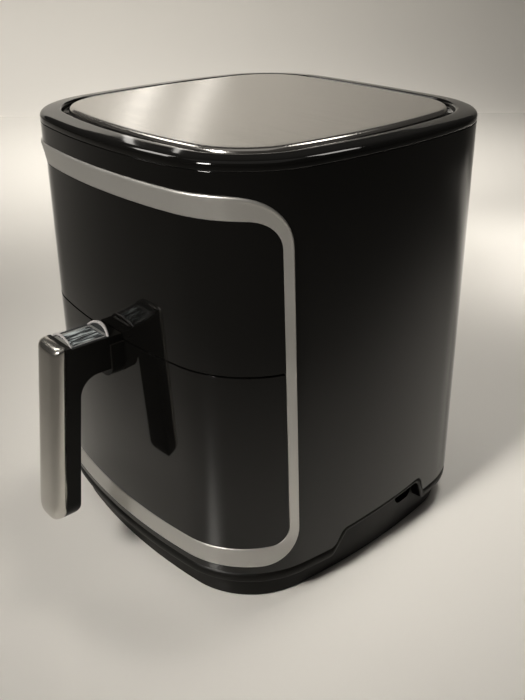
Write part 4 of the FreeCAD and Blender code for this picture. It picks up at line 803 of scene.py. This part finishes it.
foot_steps = [0.02, 0.15, 0.4, 0.8, 1.4, 2.1, 3.0, 4.0, 5.5, 7.2, 9.0, 11.0, 13.0]
head_steps = foot_steps[:9]
between_ends = GRIP_HIGH - GRIP_LOW - foot_steps[-1] - head_steps[-1]
levels = [GRIP_LOW + d for d in foot_steps]
levels += [GRIP_LOW + foot_steps[-1] + between_ends * k / SHAFT_STEPS for k in range(1, SHAFT_STEPS)]
levels += [GRIP_HIGH - d for d in reversed(head_steps)]
sections = [[(x, y, z) for x, y in cover_section(z)] for z in levels]
points = [p for section in sections for p in section]
size = len(sections[0])
faces = [tuple(reversed(f)) for f in grid_faces(len(levels), size, ring=True)]
faces += [tuple(range(size)), tuple(reversed(range(len(points) - size, len(points))))]
lay("grip_cover", points, faces, "drawer", "cover_steel", "handle_cover")
print("grip cover:", len(levels), "sections")

# %% [markdown]
# Release button under its clear guard
# A ribbed chrome button sits in the arm, under a clear guard that slides back. The ribs run along the
# arm and break the light into streaks, and pale streaks painted into its colour stand in for more of
# these glints; that is all one sees of it through the guard. A thin bright plate lies round it on the
# arm. The guard is a shallow clear arch; both its ends are frosted, and the rear one is thicker, so that
# a finger can find it.

# %% Button
BUTTON_FRONT, BUTTON_BACK, BUTTON_LOW, BUTTON_HIGH = -172.5, -148.5, 177, 189.6
BUTTON_HALF = 10.0
RIBS = [(10.0, -1.3), (9.3, -0.5), (7.2, 0.0), (5.6, -0.75), (3.2, -0.05), (1.6, -0.7)]
END_STEPS = [(0.0, 1.2), (0.5, 0.4), (1.6, 0.0)]


def button_section(y, drop):
    """The button's outline across the arm, with its ribs lowered near the ends."""
    right = [(BUTTON_HALF, BUTTON_LOW)] + [(x, BUTTON_HIGH + fall - drop) for x, fall in RIBS]
    return [(x, y, z) for x, z in right] + [(-x, y, z) for x, z in reversed(right)]


ends = [(BUTTON_FRONT + away, drop) for away, drop in END_STEPS]
ends += [(BUTTON_BACK - away, drop) for away, drop in reversed(END_STEPS)]
points = [p for y, drop in ends for p in button_section(y, drop)]
size = 2 * (len(RIBS) + 1)
faces = grid_faces(len(ends), size, ring=True)
faces += [tuple(reversed(range(size))), tuple(range(len(points) - size, len(points)))]
button = lay("button", points, faces, "button", "button_chrome", "release_button")
button.data.shade_flat()
print("button:", len(faces), "faces")

# %% Plate round the button
ARM_TOP, TRIM_LIFT, TRIM_WALL = 188.3, 0.01, 0.21
HOLE_HALF, HOLE_FRONT, HOLE_BACK = 10.4, -172.9, -148.1
RIM_HALF, RIM_FRONT, RIM_BACK = 11.6, -175.2, -146.2


def four_corners(half, front, back):
    """Corners of a rectangle on the arm, from its right front one round by the back."""
    return [(half, front), (half, back), (-half, back), (-half, front)]


corners = four_corners(RIM_HALF, RIM_FRONT, RIM_BACK) + four_corners(HOLE_HALF, HOLE_FRONT, HOLE_BACK)
under = ARM_TOP + TRIM_LIFT
points = [(x, y, z) for z in (under, under + TRIM_WALL) for x, y in corners]
faces = []
for k in range(4):
    n = (k + 1) % 4
    faces += [(8 + k, 8 + n, 12 + n, 12 + k), (k, n, 8 + n, 8 + k)]
    faces += [(4 + n, 4 + k, 12 + k, 12 + n), (n, k, 4 + k, 4 + n)]
button_plate = lay("button_plate", points, faces, "drawer", "trim_silver")
button_plate.data.shade_flat()
print("plate round the button:", len(faces), "faces")

# %% Guard helpers
GUARD_FRONT, GUARD_BACK, GUARD_FOOT = -176.1, -144.1, 188.6
GUARD_HALF, GUARD_EASE, BOW, ARCH_STEPS = 14, 0.5, 2.5, 24


def arch_line(half, rise):
    """A shallow arch over the arm, from its right foot to its left foot."""
    radius = (half**2 + rise**2) / (2 * rise)
    turn = math.asin(half / radius)
    angles = [turn * (1 - 2 * k / ARCH_STEPS) for k in range(ARCH_STEPS + 1)]
    return [(radius * math.sin(a), GUARD_FOOT + rise - radius + radius * math.cos(a)) for a in angles]


def arch_piece(name, front, back, outer, inner, slot, *nodes):
    """An arch with a wall, between two lines across the arm, its outer edges eased."""
    ring = outer + list(reversed(inner))
    points = [(x, line(x), z) for line in (front, back) for x, z in ring]
    size = len(ring)
    faces = grid_faces(2, size, ring=True)
    for k in range(len(outer) - 1):
        faces.append((k + 1, k, size - 1 - k, size - 2 - k))
        faces.append((size + k, size + k + 1, 2 * size - 2 - k, 2 * size - 1 - k))
    piece = lay(name, points, faces, "guard", slot, *nodes)
    ease = piece.modifiers.new("edge", "BEVEL")
    ease.width = GUARD_EASE * MM
    ease.segments = 2
    ease.limit_method = "ANGLE"
    ease.angle_limit = math.radians(45)


def guard_line(behind):
    """A line across the guard that bows towards the drawer, some way in front of its rear end."""
    return lambda x: GUARD_BACK - behind - BOW * (x / GUARD_HALF) ** 2


def straight_line(behind):
    """A straight line across the guard, some way behind its front end."""
    return lambda x: GUARD_FRONT + behind


print("guard: %.0f mm long, %.0f mm wide" % (GUARD_BACK - GUARD_FRONT, 2 * GUARD_HALF))

# %% Clear guard
GUARD_RISE, GUARD_WALL = 6, 2
FRONT_BAND, END_BAND, BAND_GAP = 1.0, 2.0, 0.05
outer = arch_line(GUARD_HALF, GUARD_RISE)
inner = arch_line(GUARD_HALF - GUARD_WALL, GUARD_RISE - GUARD_WALL)
arch_piece("clear_guard", straight_line(FRONT_BAND + BAND_GAP), guard_line(END_BAND + BAND_GAP),
           outer, inner, "clear_plastic", "button_guard")
arch_piece("guard_front", straight_line(0), straight_line(FRONT_BAND),
           outer, inner, "light_plastic", "button_guard")
arch_piece("guard_end", guard_line(END_BAND), guard_line(0),
           outer, inner, "light_plastic", "button_guard")
print("guard:", len(outer), "points across")

# %% [markdown]
# Table and wall
# A pale table runs up into a pale wall without a corner, as in a small studio. It could be two
# planes, but a bend between them leaves no line behind the fryer. Both are one sheet swept
# sideways, square to the camera's heading. The table has a slight gloss and the wall none.

# %% Sheet for table and wall
AZIMUTH, ELEVATION, ROLL = math.radians(49.105), math.radians(21.25), math.radians(-0.438)
FORWARD = Vector((-math.sin(AZIMUTH), math.cos(AZIMUTH), 0))
RIGHTWARD = Vector((math.cos(AZIMUTH), math.sin(AZIMUTH), 0))
WALL_AWAY, WALL_BEND, WALL_HIGH, BEND_STEPS = 1.9, 0.35, 1.0, 12
TABLE_NEAR, STAGE_HALF = -4.0, 9


def studio(ahead, right, z):
    """A place in metres from the fryer's middle, away from the camera and to its right."""
    return FORWARD * ahead + RIGHTWARD * right + Vector((0, MIDDLE * MM, z))


table_end = WALL_AWAY - WALL_BEND
sweep = [(TABLE_NEAR, 0.0), (table_end, 0.0)]
for k in range(1, BEND_STEPS + 1):
    angle = k / BEND_STEPS * math.pi / 2
    sweep.append((table_end + WALL_BEND * math.sin(angle), WALL_BEND * (1 - math.cos(angle))))
sweep.append((WALL_AWAY, WALL_HIGH))
backdrop_mesh = bpy.data.meshes.new("backdrop")
corners = [studio(ahead, right, z) for ahead, z in sweep for right in (-STAGE_HALF, STAGE_HALF)]
backdrop_mesh.from_pydata(corners, [], grid_faces(len(sweep), 2))
backdrop_mesh.shade_smooth()
backdrop = bpy.data.objects.new("backdrop", backdrop_mesh)
bpy.context.scene.collection.objects.link(backdrop)
print("table and wall:", len(backdrop_mesh.polygons), "faces")

# %% Finishes of table and wall
PALE, TABLE_ROUGHNESS, WALL_ROUGHNESS = (0.74, 0.72, 0.68), 0.26, 0.9
table = bpy.data.materials.new("pale_table")
table.use_nodes = True
shader = table.node_tree.nodes["Principled BSDF"]
shader.inputs["Base Color"].default_value = (*PALE, 1)
shader.inputs["Roughness"].default_value = TABLE_ROUGHNESS
paint = table.copy()
paint.name = "pale_wall"
paint.node_tree.nodes["Principled BSDF"].inputs["Roughness"].default_value = WALL_ROUGHNESS
for material in (table, paint):
    backdrop_mesh.materials.append(material)
for face in backdrop_mesh.polygons:
    face.material_index = min(face.index, 1)
print("stage finishes:", [material.name for material in backdrop_mesh.materials])

# %% [markdown]
# Light
# Gloss black shows only what it mirrors, so the lamps are chosen for what the walls see. The sides
# mirror the table beside them: two lamps high up make pools of light on it that end not far from
# the casing, so the walls fade to black towards the top. The pools' lamps are hidden from mirrors,
# or they would show as white squares. A large ceiling lamp lifts the shadows, and a small one at
# the left fills in the front. The steel plate mirrors the wall, which has its own lamps, and two
# narrow strips in front of it draw bright streaks in the plate. Two long boxes, at the left and
# behind, draw the line on its rolled rim. The world adds only a faint glow.

# %% Lamps over the table
LAMP_COLOR, PLATE_HEIGHT = (1, 0.96, 0.9), 328
SIDEWAYS, LENGTHWAYS = Vector((1, 0, 0)), Vector((0, 1, 0))


def lamp(name, place, target, size, power, spread=180, level=RIGHTWARD):
    """A soft area lamp, aimed at a point; its size is along the level direction, then across it."""
    light = bpy.data.lights.new(name, "AREA")
    light.shape = "RECTANGLE"
    light.size, light.size_y = size
    light.energy = power
    light.color = LAMP_COLOR
    light.spread = math.radians(spread)
    thing = bpy.data.objects.new(name, light)
    bpy.context.scene.collection.objects.link(thing)
    back = (place - target).normalized()
    across = (level - back * level.dot(back)).normalized()
    turn = Matrix((across, back.cross(across), back)).transposed().to_4x4()
    thing.matrix_world = Matrix.Translation(place) @ turn
    return thing


above, below = Vector(at(-60, 585, 1900)), Vector(at(-60, 185, 0))
pool = lamp("pool", above, below, (0.8, 0.83), 0.6, spread=14, level=SIDEWAYS)
above, below = studio(0.55, 0.75, 1.7), studio(0.5, 0.7, 0)
right_pool = lamp("right_pool", above, below, (0.75, 0.35), 0.9, spread=12)
for hidden in (pool, right_pool):
    hidden.visible_glossy = False
lamp("ceiling", studio(-0.2, 0, 2.3), studio(-0.2, 0, 0), (2.2, 2.2), 4)
lamp("front_fill", studio(-1.0, -0.9, 1.1), studio(-0.05, 0, 0.2), (0.3, 0.3), 1.2, spread=30)
print("lamps over the table:", len(bpy.data.lights))

# %% Lamps for the plate
BOX_SIZE, BOX_POWER, BOX_SPREAD = (0.8, 0.22), 0.45, 60
STRIP_LONG, STRIP_POWER, STRIP_SLANT = 0.7, 1.2, 0.35
lamp("back_pool", studio(1.1, 0.0, 1.9), studio(1.05, 0.0, 0), (1.0, 0.5), 3.5, spread=40)
lamp("wall_wash", studio(1.1, -0.8, 1.9), studio(1.8, -0.7, 0.5), (1.5, 0.3), 14, spread=120)
boxes = (
    ("left_box", (-1130, -290, 1450), (0, -120, PLATE_HEIGHT), LENGTHWAYS),
    ("rear_box", (120, 1100, 1740), (110, 0, PLATE_HEIGHT), SIDEWAYS),
)
for name, place, target, level in boxes:
    lamp(name, Vector(at(*place)), Vector(at(*target)), BOX_SIZE, BOX_POWER, BOX_SPREAD, level)
slant = RIGHTWARD * math.cos(STRIP_SLANT) + Vector((0, 0, math.sin(STRIP_SLANT)))
for name, right, wide in (("strip", -0.2, 0.02), ("strip_left", -0.36, 0.03)):
    place, target = studio(1.7, right, 0.75), studio(0, 0, 0.33)
    lamp(name, place, target, (wide, STRIP_LONG), STRIP_POWER * wide, spread=90, level=slant)
print("lamps in all:", len(bpy.data.lights))

# %% World
WORLD_COLOR = (0.05, 0.047, 0.043)
world = bpy.data.worlds.new("studio")
world.use_nodes = True
world.node_tree.nodes["Background"].inputs["Color"].default_value = (*WORLD_COLOR, 1)
bpy.context.scene.world = world
bpy.context.scene.view_settings.view_transform = "Standard"
print("world:", WORLD_COLOR)

# %% [markdown]
# Camera
# The camera stands where the photograph was taken from: its place, its angles and its focal length
# were fitted to the casing's outlines. The picture is a crop, so its optical middle isn't the
# middle of the frame, and the lens is shifted to suit.

# %% Camera
FOCAL_PIXELS, LONG_SIDE, OPTICAL_ROW = 872.2, 700, 262
CAMERA_PLACE = (493.61, -421.66, 453.88)
backward = Vector((0, 0, math.sin(ELEVATION))) - FORWARD * math.cos(ELEVATION)
level_up = backward.cross(RIGHTWARD)
right = RIGHTWARD * math.cos(ROLL) + level_up * math.sin(ROLL)
up = level_up * math.cos(ROLL) - RIGHTWARD * math.sin(ROLL)
lens = bpy.data.cameras.new("camera")
lens.sensor_width = 36
lens.lens = FOCAL_PIXELS * lens.sensor_width / LONG_SIDE
lens.shift_y = -(LONG_SIDE / 2 - OPTICAL_ROW) / LONG_SIDE
camera = bpy.data.objects.new("camera", lens)
bpy.context.scene.collection.objects.link(camera)
turned = Matrix((right, up, backward)).transposed().to_4x4()
camera.matrix_world = Matrix.Translation(at(*CAMERA_PLACE)) @ turned
bpy.context.scene.camera = camera
print("camera: lens %.2f mm" % lens.lens)
